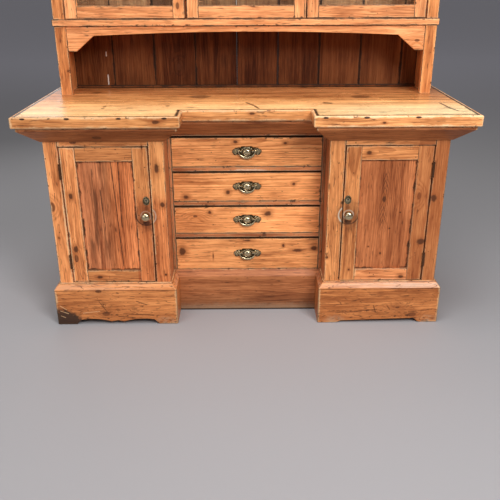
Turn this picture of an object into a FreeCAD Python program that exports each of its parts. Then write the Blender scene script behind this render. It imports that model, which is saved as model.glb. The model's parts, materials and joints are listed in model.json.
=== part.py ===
# Stripped pine kitchen dresser: stepped base of cupboards and drawers, open rack, glazed cabinet.
# Millimetres, +Z up, origin on the floor under the middle of the whole piece.
import FreeCAD
import Part
import math
import os

# Overall sizes of the base
worktop_width = 1650.0
worktop_depth = 680.0
worktop_height = 850.0
worktop_thickness = 40.0
notch_width = 468.0
notch_depth = 115.0
front_overhang = 79.0
side_overhang = 80.0
notch_overhang = 71.0
centre_overhang = 83.0
back_overhang = 24.0

# Worktop planks and edging
lipping_width = 12.0
lipping_arris = 5.0
worktop_field_planks = 3

# Bed moulding under the worktop
moulding_height = 63.0
moulding_setback = 12.0
moulding_fillet = 12.0
moulding_foot = 6.0

# Plinths
plinth_face_height = 154.0
plinth_chamfer_height = 25.0
plinth_projection = 23.0
plinth_cap_ledge = 4.0
foot_length = 76.0
foot_slant = 20.0
foot_rise = 20.0
foot_bow = 3.0
lobe_drop = 8.5
lobe_offset = 25.0
nick_drop = 3.0
plain_inner_rise = 9.0
plain_outer_rise = 18.0

# Base carcass
side_thickness = 20.0
side_bottom = 45.0
back_board_thickness = 16.0
back_board_pitch = 177.0
back_board_first = 167.0
back_board_gap = 0.8
frame_thickness = 22.0
outer_stile_width = 52.0
inner_stile_width = 57.0
top_rail_reveal = 20.0
bottom_rail_height = 60.0
floor_thickness = 19.0
shelf_thickness = 19.0
shelf_setback = 42.0
shelf_height_share = 0.5
batten_width = 20.0
batten_height = 28.0

# Cupboard doors
door_gap = 2.0
free_gap = 3.5
door_stile_width = 58.0
door_top_rail = 54.0
door_bottom_rail = 49.0
panel_thickness = 8.0
panel_recess = 8.0
groove_depth = 9.0
groove_play = 0.2

# Butt hinges
leaf_thickness = 1.6
leaf_play = 0.5
leaf_reach = 19.0
hinge_height = 58.0
hinge_inset = 90.0
knuckle_radius = 5.0
hinge_pin_radius = 2.0
running_clearance = 0.05
knuckle_gap = 0.3

# Flats round small turned and rolled metal pieces
rod_sides = 12
turned_sides = 14
dome_rings = 3
bail_bends = 10

# Lock, escutcheon, knob and latch of a cupboard door
lock_above_floor = 339.0
lock_width = 46.0
lock_height = 60.0
lock_depth = 13.0
lock_edge = 3.0
bolt_height = 12.0
bolt_depth = 6.0
bolt_length = 34.0
bolt_cover = 2.5
bolt_clearance = 0.3
escutcheon_inset = 16.0
escutcheon_width = 27.0
escutcheon_height = 35.0
escutcheon_thickness = 1.5
keyhole_radius = 3.0
keyhole_slot_width = 3.0
keyhole_drop = 9.0
knob_inset = 21.0
knob_above_floor = 278.0
knob_diameter = 33.0
knob_projection = 26.0
knob_rose_share = 0.36
knob_neck_share = 0.24
knob_rose_depth_share = 0.14
knob_head_share = 0.50
knob_widest_share = 0.62
spindle_radius = 4.0
latch_length = 42.0
latch_width = 14.0
latch_thickness = 4.0
latch_clearance = 0.5

# Drawers
drawer_height_shares = (0.282, 0.234, 0.244, 0.240)
drawer_rail_height = 18.0
drawer_top_reveal = 10.0
drawer_over_gap = 6.0
drawer_under_gap = 0.4
drawer_side_gap = 1.0
drawer_back_gap = 8.0
drawer_post_width = 13.0
drawer_front_thickness = 20.0
dovetail_lap = 6.0
drawer_side_thickness = 12.0
drawer_back_thickness = 10.0
drawer_bottom_thickness = 8.0
drawer_bottom_raise = 9.0
dovetail_pins = 4
pin_root_share = 0.42
pin_tip_share = 0.22
runner_width = 36.0
guide_height = 20.0

# Brass drawer handle
plate_width = 114.0
plate_thickness = 2.2
plate_lobe_shares = (
    (0.00, 0.010, 0.190),
    (0.13, 0.100, 0.105),
    (0.15, -0.080, 0.110),
    (0.27, 0.040, 0.130),
    (0.36, 0.085, 0.070),
    (0.42, 0.030, 0.080),
)
boss_radius = 15.0
boss_height = 5.0
lug_reach_share = 0.20
lug_rise_share = 0.05
lug_radius = 4.2
lug_length = 9.0
bail_standoff = 6.0
bail_pin_radius = 1.6
bail_pin_length = 5.0
bail_clearance = 2.6
bail_ear = 5.0
bail_drop = 31.0
bail_thickness = 5.0
bail_belly = 9.0

# Rack and glazed cabinet
overall_height = 2150.0
upper_width = 1518.0
upper_setback = 456.0
upper_side_thickness = 22.0
upper_frame_thickness = 24.0
upper_stile_width = 46.0
rack_height = 268.0
ledge_thickness = 25.0
ledge_projection = 6.0
ledge_side_projection = 5.0
apron_depth = 37.0
apron_arch = 14.0
apron_bends = 6
apron_thickness = 18.0
apron_setback = 4.0
bracket_flat = 33.0
bracket_run = 73.0
bracket_drop = 60.0
fillet_height = 12.0
fillet_depth = 8.0
cornice_height = 85.0
cornice_rise = 35.0
cornice_projection = 58.0
cornice_fillet = 16.0
cornice_bead = 14.0
cornice_bead_share = 0.22
cornice_cove_share = 0.34
cornice_cove_bends = 5
head_reveal = 30.0
cabinet_top_thickness = 20.0
cabinet_shelf_thickness = 18.0
cabinet_shelf_shares = (0.34, 0.67)
muntin_width = 30.0
muntin_depth = 22.0

# Glazed doors
glazed_door_thickness = 22.0
glazed_stile_width = 47.0
glazed_rail_width = 48.0
glass_thickness = 3.0
glass_recess = 10.0
glass_groove_depth = 8.0
small_knuckle_radius = 4.0
small_hinge_height = 50.0
small_hinge_inset = 120.0
small_pin_radius = 1.6
small_knob_diameter = 21.0
small_knob_projection = 22.0
small_knob_height_share = 0.42
bead_width = 8.0
bead_height = 3.0

# Cutting solids run past the piece by this much
overrun = 10.0

# Levels and planes that the pieces share; y runs back from the worktop's front edge
half_worktop = worktop_width / 2
half_notch = notch_width / 2
worktop_under = worktop_height - worktop_thickness
moulding_bottom = worktop_under - moulding_height
plinth_top = plinth_face_height + plinth_chamfer_height
pedestal_front = front_overhang
pedestal_outer = half_worktop - side_overhang
pedestal_inner = half_notch + notch_overhang
drawer_plane = notch_depth + centre_overhang
carcass_back = worktop_depth - back_overhang
boards_front = carcass_back - back_board_thickness
frame_back = pedestal_front + frame_thickness
inside_inner = pedestal_inner + side_thickness
inside_outer = pedestal_outer - side_thickness
hinge_gap = 2 * leaf_thickness + leaf_play
opening_inner = pedestal_inner + inner_stile_width
opening_outer = pedestal_outer - outer_stile_width
door_free = opening_inner + free_gap
door_hung = opening_outer - hinge_gap
door_bottom = plinth_top + door_gap
door_top = moulding_bottom - top_rail_reveal - door_gap
half_upper = upper_width / 2
upper_inside = half_upper - upper_side_thickness
upper_back = upper_setback + upper_frame_thickness
ledge_under = worktop_height + rack_height
ledge_top_height = ledge_under + ledge_thickness
cabinet_top = overall_height - cornice_rise
cornice_bottom = overall_height - cornice_height
head_bottom = cornice_bottom - head_reveal


def at(x, y, z):
    """Point with y measured back from the worktop's front edge."""
    return FreeCAD.Vector(x, y - worktop_depth / 2, z)


def block(x0, x1, y0, y1, z0, z1):
    """Squared timber between two corners."""
    return Part.makeBox(x1 - x0, y1 - y0, z1 - z0, at(x0, y0, z0))


def polygon(points):
    """Flat face through the points."""
    return Part.Face(Part.makePolygon(points + points[:1]))


def solid_of(faces):
    """Closed solid from its flat faces."""
    solid = Part.makeSolid(Part.makeShell(faces))
    if solid.Volume < 0:
        solid.reverse()
    return solid


def ring(radius, sides):
    """Corners of a regular outline about its middle."""
    turns = [2 * math.pi * (i + 0.5) / sides for i in range(sides)]
    return [(radius * math.cos(turn), radius * math.sin(turn)) for turn in turns]


def rod_x(radius, x0, x1, y, z):
    """Bar along X."""
    outline = polygon([at(x0, y + a, z + b) for a, b in ring(radius, rod_sides)])
    return outline.extrude(FreeCAD.Vector(x1 - x0, 0, 0))


def rod_y(radius, y0, y1, x, z, sides=rod_sides):
    """Bar along Y."""
    outline = polygon([at(x + a, y0, z + b) for a, b in ring(radius, sides)])
    return outline.extrude(FreeCAD.Vector(0, y1 - y0, 0))


def rod_z(radius, z0, z1, x, y):
    """Bar along Z."""
    outline = polygon([at(x + a, y + b, z0) for a, b in ring(radius, rod_sides)])
    return outline.extrude(FreeCAD.Vector(0, 0, z1 - z0))


def round_x(radius, x0, x1, y, z):
    """Round pin or bore along X."""
    return Part.makeCylinder(radius, x1 - x0, at(x0, y, z), FreeCAD.Vector(1, 0, 0))


def round_y(radius, y0, y1, x, z):
    """Round spindle or hole along Y."""
    return Part.makeCylinder(radius, y1 - y0, at(x, y0, z), FreeCAD.Vector(0, 1, 0))


def round_z(radius, z0, z1, x, y):
    """Round pin or bore along Z."""
    return Part.makeCylinder(radius, z1 - z0, at(x, y, z0))


def turned(x, y, z, profile):
    """Turned piece that stands out of the face at y; profile points are (radius, distance out)."""
    rings = [[at(x + a, y - out, z + b) for a, b in ring(radius, turned_sides)] for radius, out in profile]
    faces = [polygon(rings[0]), polygon(rings[-1])]
    for low, high in zip(rings, rings[1:]):
        for i in range(turned_sides):
            k = (i + 1) % turned_sides
            faces.append(polygon([low[i], low[k], high[k], high[i]]))
    return solid_of(faces)


def dome_profile(rim, start, end):
    """Profile points of a spherical crown from its rim at start to a small flat at end."""
    height = end - start
    ball = (rim ** 2 + height ** 2) / (2 * height)
    whole = math.asin(rim / ball)
    points = []
    for i in range(dome_rings + 1):
        angle = whole * (1 - i / (dome_rings + 1))
        points.append((ball * math.sin(angle), end - ball * (1 - math.cos(angle))))
    return points


def cut_board(edges, y0, y1):
    """Board cut from an outline of edges drawn at y0, as thick as y1 - y0."""
    face = Part.Face(Part.Wire(edges))
    return face.extrude(FreeCAD.Vector(0, y1 - y0, 0))


def line(a, b):
    return Part.LineSegment(a, b).toShape()


def arc(a, middle, b):
    return Part.Arc(a, middle, b).toShape()


def mirrored(shape):
    """The same piece on the other side of the dresser."""
    return shape.mirror(FreeCAD.Vector(0, 0, 0), FreeCAD.Vector(1, 0, 0))


def both_sides(shape):
    return [mirrored(shape), shape]


def export(name, solids):
    """Write one named piece, or one group of separate solids."""
    shape = solids[0] if len(solids) == 1 else Part.makeCompound(solids)
    shape.exportStep("parts/" + name + ".step")


# Stepped plan line and the mitred lengths that follow it
def stepped_path(half_outer, front, half_inner, recess, back):
    """Plan corners from the left back round the step to the right back."""
    left = [(-half_outer, back), (-half_outer, front), (-half_inner, front), (-half_inner, recess)]
    return left + [(-x, y) for x, y in reversed(left)]


def mitred_length(section, start, end):
    """Straight length between two mitres; a section point is (share of the projection, height)."""
    ends = []
    for (inner_x, inner_y), (outer_x, outer_y) in (start, end):
        ends.append([at(inner_x + s * (outer_x - inner_x), inner_y + s * (outer_y - inner_y), z)
                     for s, z in section])
    first, last = ends
    faces = [polygon(first), polygon(last)]
    for i in range(len(section)):
        k = (i + 1) % len(section)
        faces.append(polygon([first[i], first[k], last[k], last[i]]))
    return solid_of(faces)


def mitred_lengths(section, inner_path, outer_path):
    corners = list(zip(inner_path, outer_path))
    return [mitred_length(section, corners[i], corners[i + 1]) for i in range(len(corners) - 1)]


pedestal_path = stepped_path(pedestal_outer, pedestal_front, pedestal_inner, drawer_plane, carcass_back)


# Plinths
def cut_feet(board, inner_rise, outer_rise, lower_edge):
    """Leaves slanted feet at the ends of a plinth board, with a given lower edge between them."""
    x0 = pedestal_inner - plinth_projection
    x1 = pedestal_outer + plinth_projection
    y0 = pedestal_front - plinth_projection - overrun
    heel = foot_length + foot_slant
    inner = at(x0 + heel, y0, inner_rise)
    outer = at(x1 - heel, y0, outer_rise)
    inner_foot = at(x0 + foot_length, y0, 0)
    outer_foot = at(x1 - foot_length, y0, 0)
    edges = [line(inner_foot, inner)] + lower_edge(inner, outer)
    edges += [line(outer, outer_foot), line(outer_foot, inner_foot)]
    return board.cut(cut_board(edges, y0, pedestal_front + overrun))


def lobed_edge(inner, outer):
    """Two flat bows that dip to a pair of lobes with a nick between them."""
    middle = (inner + outer) / 2
    nick = middle - FreeCAD.Vector(0, 0, nick_drop)
    inner_lobe = middle - FreeCAD.Vector(lobe_offset, 0, lobe_drop)
    outer_lobe = middle - FreeCAD.Vector(-lobe_offset, 0, lobe_drop)
    crown = FreeCAD.Vector(0, 0, foot_bow + lobe_drop / 2)
    return [arc(inner, (inner + inner_lobe) / 2 + crown, inner_lobe), line(inner_lobe, nick),
            line(nick, outer_lobe), arc(outer_lobe, (outer + outer_lobe) / 2 + crown, outer)]


def plain_edge(inner, outer):
    return [line(inner, outer)]


def make_plinths():
    t = plinth_projection
    outer_path = stepped_path(pedestal_outer + t, pedestal_front - t, pedestal_inner - t,
                              drawer_plane - t, carcass_back)
    section = [(0, 0), (1, 0), (1, plinth_face_height),
               (plinth_cap_ledge / plinth_projection, plinth_top), (0, plinth_top)]
    lengths = mitred_lengths(section, pedestal_path, outer_path)
    inner_return, front, outer_return = lengths[4:]
    lobed = cut_feet(front, foot_rise, foot_rise, lobed_edge)
    plain = cut_feet(front, plain_inner_rise, plain_outer_rise, plain_edge)
    export("left_plinth", [mirrored(piece) for piece in (inner_return, lobed, outer_return)])
    export("centre_plinth", [lengths[3]])
    export("right_plinth", [inner_return, plain, outer_return])


# Carcass of the base
def back_boards(half_width, z0, z1):
    """Vertical boards; the last one is ripped down to fit."""
    boards = []
    left = -half_width
    right = left + back_board_first
    while left < half_width:
        edge = min(right, half_width)
        gap = back_board_gap if edge < half_width else 0
        boards.append(block(left, edge - gap, boards_front, carcass_back, z0, z1))
        left = edge
        right = edge + back_board_pitch
    return boards


def make_base_carcass():
    outer = block(inside_outer, pedestal_outer, frame_back, carcass_back, side_bottom, worktop_under)
    inner = block(pedestal_inner, inside_inner, frame_back, boards_front, side_bottom, worktop_under)
    export("outer_sides", both_sides(outer))
    export("inner_sides", both_sides(inner))
    floor = block(inside_inner, inside_outer, frame_back, boards_front,
                  plinth_top - floor_thickness, plinth_top)
    export("cupboard_floors", both_sides(floor))
    shelf_top = plinth_top + shelf_height_share * (worktop_under - plinth_top)
    shelf_under = shelf_top - shelf_thickness
    shelf_front = frame_back + shelf_setback
    shelf = block(inside_inner, inside_outer, shelf_front, boards_front, shelf_under, shelf_top)
    export("cupboard_shelves", both_sides(shelf))
    battens = []
    for x in (inside_inner, inside_outer - batten_width):
        batten = block(x, x + batten_width, shelf_front, boards_front,
                       shelf_under - batten_height, shelf_under)
        battens += both_sides(batten)
    export("shelf_battens", battens)
    export("base_back_boards", back_boards(inside_outer, side_bottom, worktop_under))


def make_face_frames():
    stiles = [block(pedestal_inner, opening_inner, pedestal_front, frame_back, side_bottom, worktop_under),
              block(opening_outer, pedestal_outer, pedestal_front, frame_back, side_bottom, worktop_under)]
    top = block(opening_inner, opening_outer, pedestal_front, frame_back, door_top + door_gap, worktop_under)
    bottom = block(opening_inner, opening_outer, pedestal_front, frame_back,
                   plinth_top - bottom_rail_height, plinth_top)
    pieces = stiles + [top, bottom]
    export("right_face_frame", pieces)
    export("left_face_frame", [mirrored(piece) for piece in pieces])


# Butt hinges
class Hinge:
    """Butt hinge whose knuckles stand just proud of the front face, door towards +X or -X."""

    def __init__(self, frame_edge, towards_door, front, centre_z, height, radius, pin_radius, frame_reach):
        self.edge = frame_edge
        self.frame_reach = frame_reach
        self.way = towards_door
        self.front = front
        self.low = centre_z - height / 2
        self.high = centre_z + height / 2
        self.radius = radius
        self.pin_radius = pin_radius
        self.axis_x = frame_edge + towards_door * hinge_gap / 2
        self.axis_y = front - radius - knuckle_gap

    def leaf(self, edge, way, knuckles, reach):
        x0, x1 = sorted((edge, edge + way * leaf_thickness))
        leaf = block(x0, x1, self.front, self.front + reach, self.low, self.high)
        for z0, z1 in knuckles:
            leaf = leaf.fuse(rod_z(self.radius, z0, z1, self.axis_x, self.axis_y))
            leaf = leaf.fuse(block(x0, x1, self.axis_y, self.front, z0, z1))
        return leaf

    def frame_leaf(self):
        """Leaf on the frame, with the pin driven through its end knuckles."""
        third = (self.high - self.low) / 3
        ends = [(self.low, self.low + third), (self.high - third, self.high)]
        pin = rod_z(self.pin_radius, self.low, self.high, self.axis_x, self.axis_y)
        return self.leaf(self.edge, self.way, ends, self.frame_reach).fuse(pin).removeSplitter()

    def door_leaf(self):
        """Leaf on the door, whose bored middle knuckle turns on the pin."""
        third = (self.high - self.low) / 3
        middle = [(self.low + third + knuckle_gap, self.high - third - knuckle_gap)]
        bore = round_z(self.pin_radius + running_clearance, self.low, self.high, self.axis_x, self.axis_y)
        leaf = self.leaf(self.edge + self.way * hinge_gap, -self.way, middle, leaf_reach)
        return leaf.cut(bore).removeSplitter()


cupboard_hinges = [Hinge(opening_outer, -1, pedestal_front, z, hinge_height, knuckle_radius, hinge_pin_radius,
                         leaf_reach)
                   for z in (door_bottom + hinge_inset, door_top - hinge_inset)]


# Framed doors
def framed_door(x0, x1, y0, thickness, z0, z1, stile, top_rail, bottom_rail, groove_y, groove_width, depth):
    """Two stiles with two rails stub-tenoned into the groove that holds the panel or the glass."""
    y1 = y0 + thickness
    g0 = groove_y
    g1 = groove_y + groove_width
    inner0 = x0 + stile
    inner1 = x1 - stile
    groove = block(inner0 - depth, inner1 + depth, g0, g1, z0 - overrun, z1 + overrun)
    left = block(x0, inner0, y0, y1, z0, z1).cut(groove)
    right = block(inner1, x1, y0, y1, z0, z1).cut(groove)
    space = block(inner0 - depth - overrun, inner1 + depth + overrun, g0, g1,
                  z0 + bottom_rail - depth, z1 - top_rail + depth)
    rails = []
    for low, high in ((z0, z0 + bottom_rail), (z1 - top_rail, z1)):
        rail = block(inner0, inner1, y0, y1, low, high)
        tenon = block(inner0 - depth, inner1 + depth, g0, g1, low, high)
        rails.append(rail.fuse(tenon).cut(space).removeSplitter())
    return [left, right] + rails


def keyhole(x, z, y0, y1):
    """Round eye with a slot below it."""
    half = keyhole_slot_width / 2
    return rod_y(keyhole_radius, y0, y1, x, z).fuse(block(x - half, x + half, y0, y1, z - keyhole_drop, z))


def turned_knob(x, y, z, diameter, projection):
    """Rose, neck and domed head turned about an axis that comes out of the door at y."""
    base = diameter * knob_rose_share
    neck = diameter * knob_neck_share
    rim = diameter / 2
    rose = projection * knob_rose_depth_share
    head = projection * knob_head_share
    widest = projection * knob_widest_share
    profile = [(base, 0), (base, rose), (neck, rose), (neck, head)]
    return turned(x, y, z, profile + dome_profile(rim, widest, projection))


lock_z = plinth_top + lock_above_floor
knob_z = plinth_top + knob_above_floor
knob_x = door_free + knob_inset
key_x = door_free + escutcheon_inset
bolt_y = frame_back + bolt_cover


def make_cupboard_door():
    """Right-hand door and its fittings; the left-hand door is its mirror image."""
    panel_y = pedestal_front + panel_recess
    groove_width = panel_thickness + 2 * groove_play
    frame = framed_door(door_free, door_hung, pedestal_front, frame_thickness, door_bottom, door_top,
                        door_stile_width, door_top_rail, door_bottom_rail,
                        panel_y - groove_play, groove_width, groove_depth)
    hole = round_y(spindle_radius + running_clearance, pedestal_front - overrun, frame_back + overrun,
                   knob_x, knob_z)
    key_cut = keyhole(key_x, lock_z, pedestal_front - overrun, frame_back + overrun)
    frame[0] = frame[0].cut(hole).cut(key_cut)
    reach = groove_depth - groove_play
    panel = block(door_free + door_stile_width - reach, door_hung - door_stile_width + reach,
                  panel_y, panel_y + panel_thickness,
                  door_bottom + door_bottom_rail - reach, door_top - door_top_rail + reach)
    lock_x = door_free + lock_edge
    case = block(lock_x, lock_x + lock_width, frame_back, frame_back + lock_depth,
                 lock_z - lock_height / 2, lock_z + lock_height / 2)
    bolt = block(lock_x, lock_x + bolt_length, bolt_y, bolt_y + bolt_depth,
                 lock_z + keyhole_radius, lock_z + keyhole_radius + bolt_height)
    c = bolt_clearance
    channel = block(lock_x - overrun, lock_x + bolt_length + c, bolt_y - c, bolt_y + bolt_depth + c,
                    lock_z + keyhole_radius - c, lock_z + keyhole_radius + bolt_height + c)
    case = case.cut(channel)
    oval = polygon([at(key_x + a * escutcheon_width / 2, pedestal_front - escutcheon_thickness,
                       lock_z + b * escutcheon_height / 2) for a, b in ring(1, turned_sides)])
    plate = oval.extrude(FreeCAD.Vector(0, escutcheon_thickness, 0)).cut(key_cut)
    knob = turned_knob(knob_x, pedestal_front - latch_clearance, knob_z, knob_diameter, knob_projection)
    latch_y = frame_back + latch_clearance
    half = latch_width / 2
    tongue = block(knob_x - half, knob_x + half, latch_y, latch_y + latch_thickness,
                   knob_z - latch_length, knob_z)
    tongue = tongue.fuse(rod_y(half, latch_y, latch_y + latch_thickness, knob_x, knob_z))
    spindle = round_y(spindle_radius, pedestal_front - latch_clearance, latch_y, knob_x, knob_z)
    knob = knob.fuse(spindle).fuse(tongue).removeSplitter()
    pieces = {
        "door_frame": frame,
        "door_panel": [panel],
        "door_hinge_leaves": [hinge.door_leaf() for hinge in cupboard_hinges],
        "door_lock": [case, plate],
        "door_bolt": [bolt],
        "door_knob": [knob],
    }
    for name, solids in pieces.items():
        export("right_" + name, solids)
        export("left_" + name, [mirrored(solid) for solid in solids])
    frame_side = [hinge.frame_leaf() for hinge in cupboard_hinges]
    export("cupboard_hinges", frame_side + [mirrored(solid) for solid in frame_side])


# Drawers: the height between plinth and moulding is shared out, lowest drawer first
drawer_count = len(drawer_height_shares)
drawer_space = (moulding_bottom - plinth_top - drawer_count * (drawer_over_gap + drawer_under_gap)
                - (drawer_count - 1) * drawer_rail_height - drawer_top_reveal)
drawer_opening_half = pedestal_inner - drawer_post_width
drawer_half = drawer_opening_half - drawer_side_gap
drawer_frame_back = drawer_plane + frame_thickness
drawer_end = boards_front - drawer_back_gap
drawer_levels = []
drawer_spans = []
next_level = plinth_top
for height_share in drawer_height_shares:
    drawer_low = next_level + drawer_under_gap
    drawer_high = drawer_low + height_share * drawer_space
    drawer_levels.append(next_level)
    drawer_spans.append((drawer_low, drawer_high))
    next_level = drawer_high + drawer_over_gap + drawer_rail_height


def make_drawer_frame():
    """Posts, rails, runners and side guides of the drawer bank."""
    post = block(drawer_opening_half, pedestal_inner, drawer_plane, drawer_frame_back,
                 plinth_top - bottom_rail_height, worktop_under)
    pieces = both_sides(post)
    for level in drawer_levels:
        pieces.append(block(-drawer_opening_half, drawer_opening_half, drawer_plane, drawer_frame_back,
                            level - drawer_rail_height, level))
    top_rail = drawer_spans[-1][1] + drawer_over_gap
    pieces.append(block(-drawer_opening_half, drawer_opening_half, drawer_plane, drawer_frame_back,
                        top_rail, worktop_under))
    export("drawer_rails", pieces)
    runners = []
    for level in drawer_levels:
        runner = block(pedestal_inner - runner_width, pedestal_inner, drawer_frame_back, boards_front,
                       level - drawer_rail_height, level)
        guide = block(drawer_opening_half, pedestal_inner, drawer_frame_back, boards_front,
                      level, level + guide_height)
        runners += both_sides(runner) + both_sides(guide)
    export("drawer_runners", runners)


def dovetailed_side(low, high):
    """Drawer side with tails that widen towards the front, lapped inside the drawer front."""
    tip = drawer_plane + dovetail_lap
    root = drawer_plane + drawer_front_thickness
    side = block(drawer_half - drawer_side_thickness, drawer_half, tip, drawer_end, low, high)
    pitch = (high - low) / (dovetail_pins - 1)
    x0 = drawer_half - drawer_side_thickness - overrun
    for i in range(dovetail_pins):
        z = low + i * pitch
        wide = pitch * pin_root_share / 2
        slim = pitch * pin_tip_share / 2
        pin = polygon([at(x0, tip, z - slim), at(x0, tip, z + slim),
                       at(x0, root, z + wide), at(x0, root, z - wide)])
        side = side.cut(pin.extrude(FreeCAD.Vector(drawer_side_thickness + 2 * overrun, 0, 0)))
    return side


def make_drawer(number, low, high):
    right = dovetailed_side(low, high)
    sides = both_sides(right)
    front = block(-drawer_half, drawer_half, drawer_plane, drawer_plane + drawer_front_thickness, low, high)
    for side in sides:
        front = front.cut(side)
    inside = drawer_half - drawer_side_thickness
    front_back = drawer_plane + drawer_front_thickness
    board_low = low + drawer_bottom_raise
    board_high = board_low + drawer_bottom_thickness
    bottom = block(-inside, inside, front_back, drawer_end, board_low, board_high)
    back = block(-inside, inside, drawer_end - drawer_back_thickness, drawer_end, board_high, high)
    export("drawer_%d" % number, [front] + sides + [back, bottom])


# Brass handles
plate_front = drawer_plane - plate_thickness
bail_axis_y = plate_front - bail_standoff
lug_x = plate_width * lug_reach_share
lug_rise = plate_width * lug_rise_share
bail_inner = lug_x + lug_radius + bail_clearance
bail_outer = bail_inner + bail_ear


def handle_plate(z):
    """Lobed back plate with a raised boss and the two lugs that carry the bail."""
    rounds = []
    for x_share, z_share, radius_share in plate_lobe_shares:
        radius = radius_share * plate_width
        for x in sorted({x_share * plate_width, -x_share * plate_width}):
            rounds.append(rod_y(radius, plate_front, drawer_plane, x, z + z_share * plate_width,
                                turned_sides))
    boss = turned(0, plate_front, z, dome_profile(boss_radius, 0, boss_height))
    for x in (-lug_x, lug_x):
        rounds.append(rod_y(lug_radius, plate_front - lug_length, plate_front, x, z + lug_rise))
    plate = rounds[0].multiFuse(rounds[1:] + [boss]).removeSplitter()
    for x in (-lug_x, lug_x):
        plate = plate.cut(round_x(bail_pin_radius + running_clearance, x - lug_radius, x + lug_radius,
                                  bail_axis_y, z + lug_rise))
    return plate


def handle_bail(z):
    """Crescent drop with two ears and stub pins that turn in the lugs."""
    top = z + lug_rise
    y0 = bail_axis_y - bail_thickness / 2
    y1 = bail_axis_y + bail_thickness / 2
    hang = [math.pi * i / bail_bends for i in range(bail_bends + 1)]
    outer = [at(bail_outer * math.cos(turn), y0, top - bail_drop * math.sin(turn)) for turn in hang]
    inner_drop = bail_drop - bail_belly
    inner = [at(bail_inner * math.cos(turn), y0, top - inner_drop * math.sin(turn)) for turn in hang]
    crescent = polygon(outer + inner[::-1]).extrude(FreeCAD.Vector(0, y1 - y0, 0))
    pieces = []
    for way in (-1, 1):
        ear = sorted((way * bail_inner, way * bail_outer))
        pin = sorted((way * bail_outer, way * (bail_inner - bail_clearance - bail_pin_length)))
        pieces.append(rod_x(bail_thickness / 2, ear[0], ear[1], bail_axis_y, top))
        pieces.append(rod_x(bail_pin_radius, pin[0], pin[1], bail_axis_y, top))
    return crescent.multiFuse(pieces).removeSplitter()


def make_drawers():
    for i, (low, high) in enumerate(drawer_spans):
        number = drawer_count - i
        make_drawer(number, low, high)
        export("drawer_%d_plate" % number, [handle_plate((low + high) / 2)])
        export("drawer_%d_bail" % number, [handle_bail((low + high) / 2)])


# Worktop
def make_worktop():
    w = lipping_width
    field_path = stepped_path(half_worktop - w, w, half_notch + w, notch_depth + w, worktop_depth)
    edge_path = stepped_path(half_worktop, 0, half_notch, notch_depth, worktop_depth)
    soft = 1 - lipping_arris / lipping_width
    ease = lipping_arris * (1 - math.sin(math.pi / 4))
    eased = 1 - ease / lipping_width
    section = [(0, worktop_under), (soft, worktop_under), (eased, worktop_under + ease),
               (1, worktop_under + lipping_arris), (1, worktop_height - lipping_arris),
               (eased, worktop_height - ease), (soft, worktop_height), (0, worktop_height)]
    export("worktop_lipping", mitred_lengths(section, field_path, edge_path))
    wing = block(half_notch + w, half_worktop - w, w, notch_depth + w, worktop_under, worktop_height)
    planks = both_sides(wing)
    plank_width = (worktop_depth - notch_depth - w) / worktop_field_planks
    for i in range(worktop_field_planks):
        y = notch_depth + w + i * plank_width
        planks.append(block(-half_worktop + w, half_worktop - w, y, y + plank_width,
                            worktop_under, worktop_height))
    export("worktop_planks", planks)
    m = moulding_setback
    top_path = stepped_path(half_worktop - m, m, half_notch + m, notch_depth + m, carcass_back)
    foot = moulding_foot / (front_overhang - m)
    section = [(0, moulding_bottom), (foot, moulding_bottom), (1, worktop_under - moulding_fillet),
               (1, worktop_under), (0, worktop_under)]
    export("bed_moulding", mitred_lengths(section, pedestal_path, top_path))


# Rack and cabinet
def make_upper_carcass():
    side = block(upper_inside, half_upper, upper_back, carcass_back, worktop_height, cabinet_top)
    export("upper_sides", both_sides(side))
    stile_x = half_upper - upper_stile_width
    post = block(stile_x, half_upper, upper_setback, upper_back, worktop_height, ledge_under)
    stile = block(stile_x, half_upper, upper_setback, upper_back, ledge_top_height, cabinet_top)
    head = block(-stile_x, stile_x, upper_setback, upper_back, head_bottom, cabinet_top)
    export("upper_face_frame", both_sides(post) + both_sides(stile) + [head])
    boards = back_boards(upper_inside, worktop_height, cabinet_top)
    fillet = block(-upper_inside, upper_inside, boards_front - fillet_depth, boards_front,
                   worktop_height, worktop_height + fillet_height)
    export("upper_back_boards", boards + [fillet])
    edge = half_upper + ledge_side_projection
    ledge = block(-edge, edge, upper_setback - ledge_projection, upper_back, ledge_under, ledge_top_height)
    ledge_return = block(half_upper, edge, upper_back, carcass_back, ledge_under, ledge_top_height)
    export("ledge_moulding", [ledge] + both_sides(ledge_return))
    y0 = upper_setback + apron_setback
    high = ledge_under
    rail = ledge_under - apron_depth
    low = rail - bracket_drop
    clear = stile_x - bracket_flat - bracket_run
    outline = [at(stile_x, y0, high), at(stile_x, y0, low), at(stile_x - bracket_flat, y0, low)]
    for i in range(apron_bends):
        across = 1 - i / apron_bends
        outline.append(at(clear * across, y0, rail + apron_arch * (1 - across ** 2)))
    outline += [at(0, y0, rail + apron_arch)] + [at(-p.x, y0, p.z) for p in reversed(outline)]
    export("rack_apron", [polygon(outline).extrude(FreeCAD.Vector(0, apron_thickness, 0))])


def make_cabinet():
    floor = block(-upper_inside, upper_inside, upper_back, boards_front, ledge_under, ledge_top_height)
    top = block(-upper_inside, upper_inside, upper_back, boards_front, cabinet_top - cabinet_top_thickness,
                cabinet_top)
    export("cabinet_floor_and_top", [floor, top])
    shelf_front = upper_back + muntin_depth
    shelves = []
    for share in cabinet_shelf_shares:
        z = ledge_top_height + share * (head_bottom - ledge_top_height)
        shelves.append(block(-upper_inside, upper_inside, shelf_front, boards_front,
                             z - cabinet_shelf_thickness, z))
    export("cabinet_shelves", shelves)
    muntins = []
    for x in (glazed_frame_edges[1] - muntin_width, glazed_edges[2][0] - free_gap / 2 - muntin_width / 2):
        muntins.append(block(x, x + muntin_width, upper_back, shelf_front,
                             ledge_top_height, cabinet_top - cabinet_top_thickness))
    export("cabinet_muntins", muntins)


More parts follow.
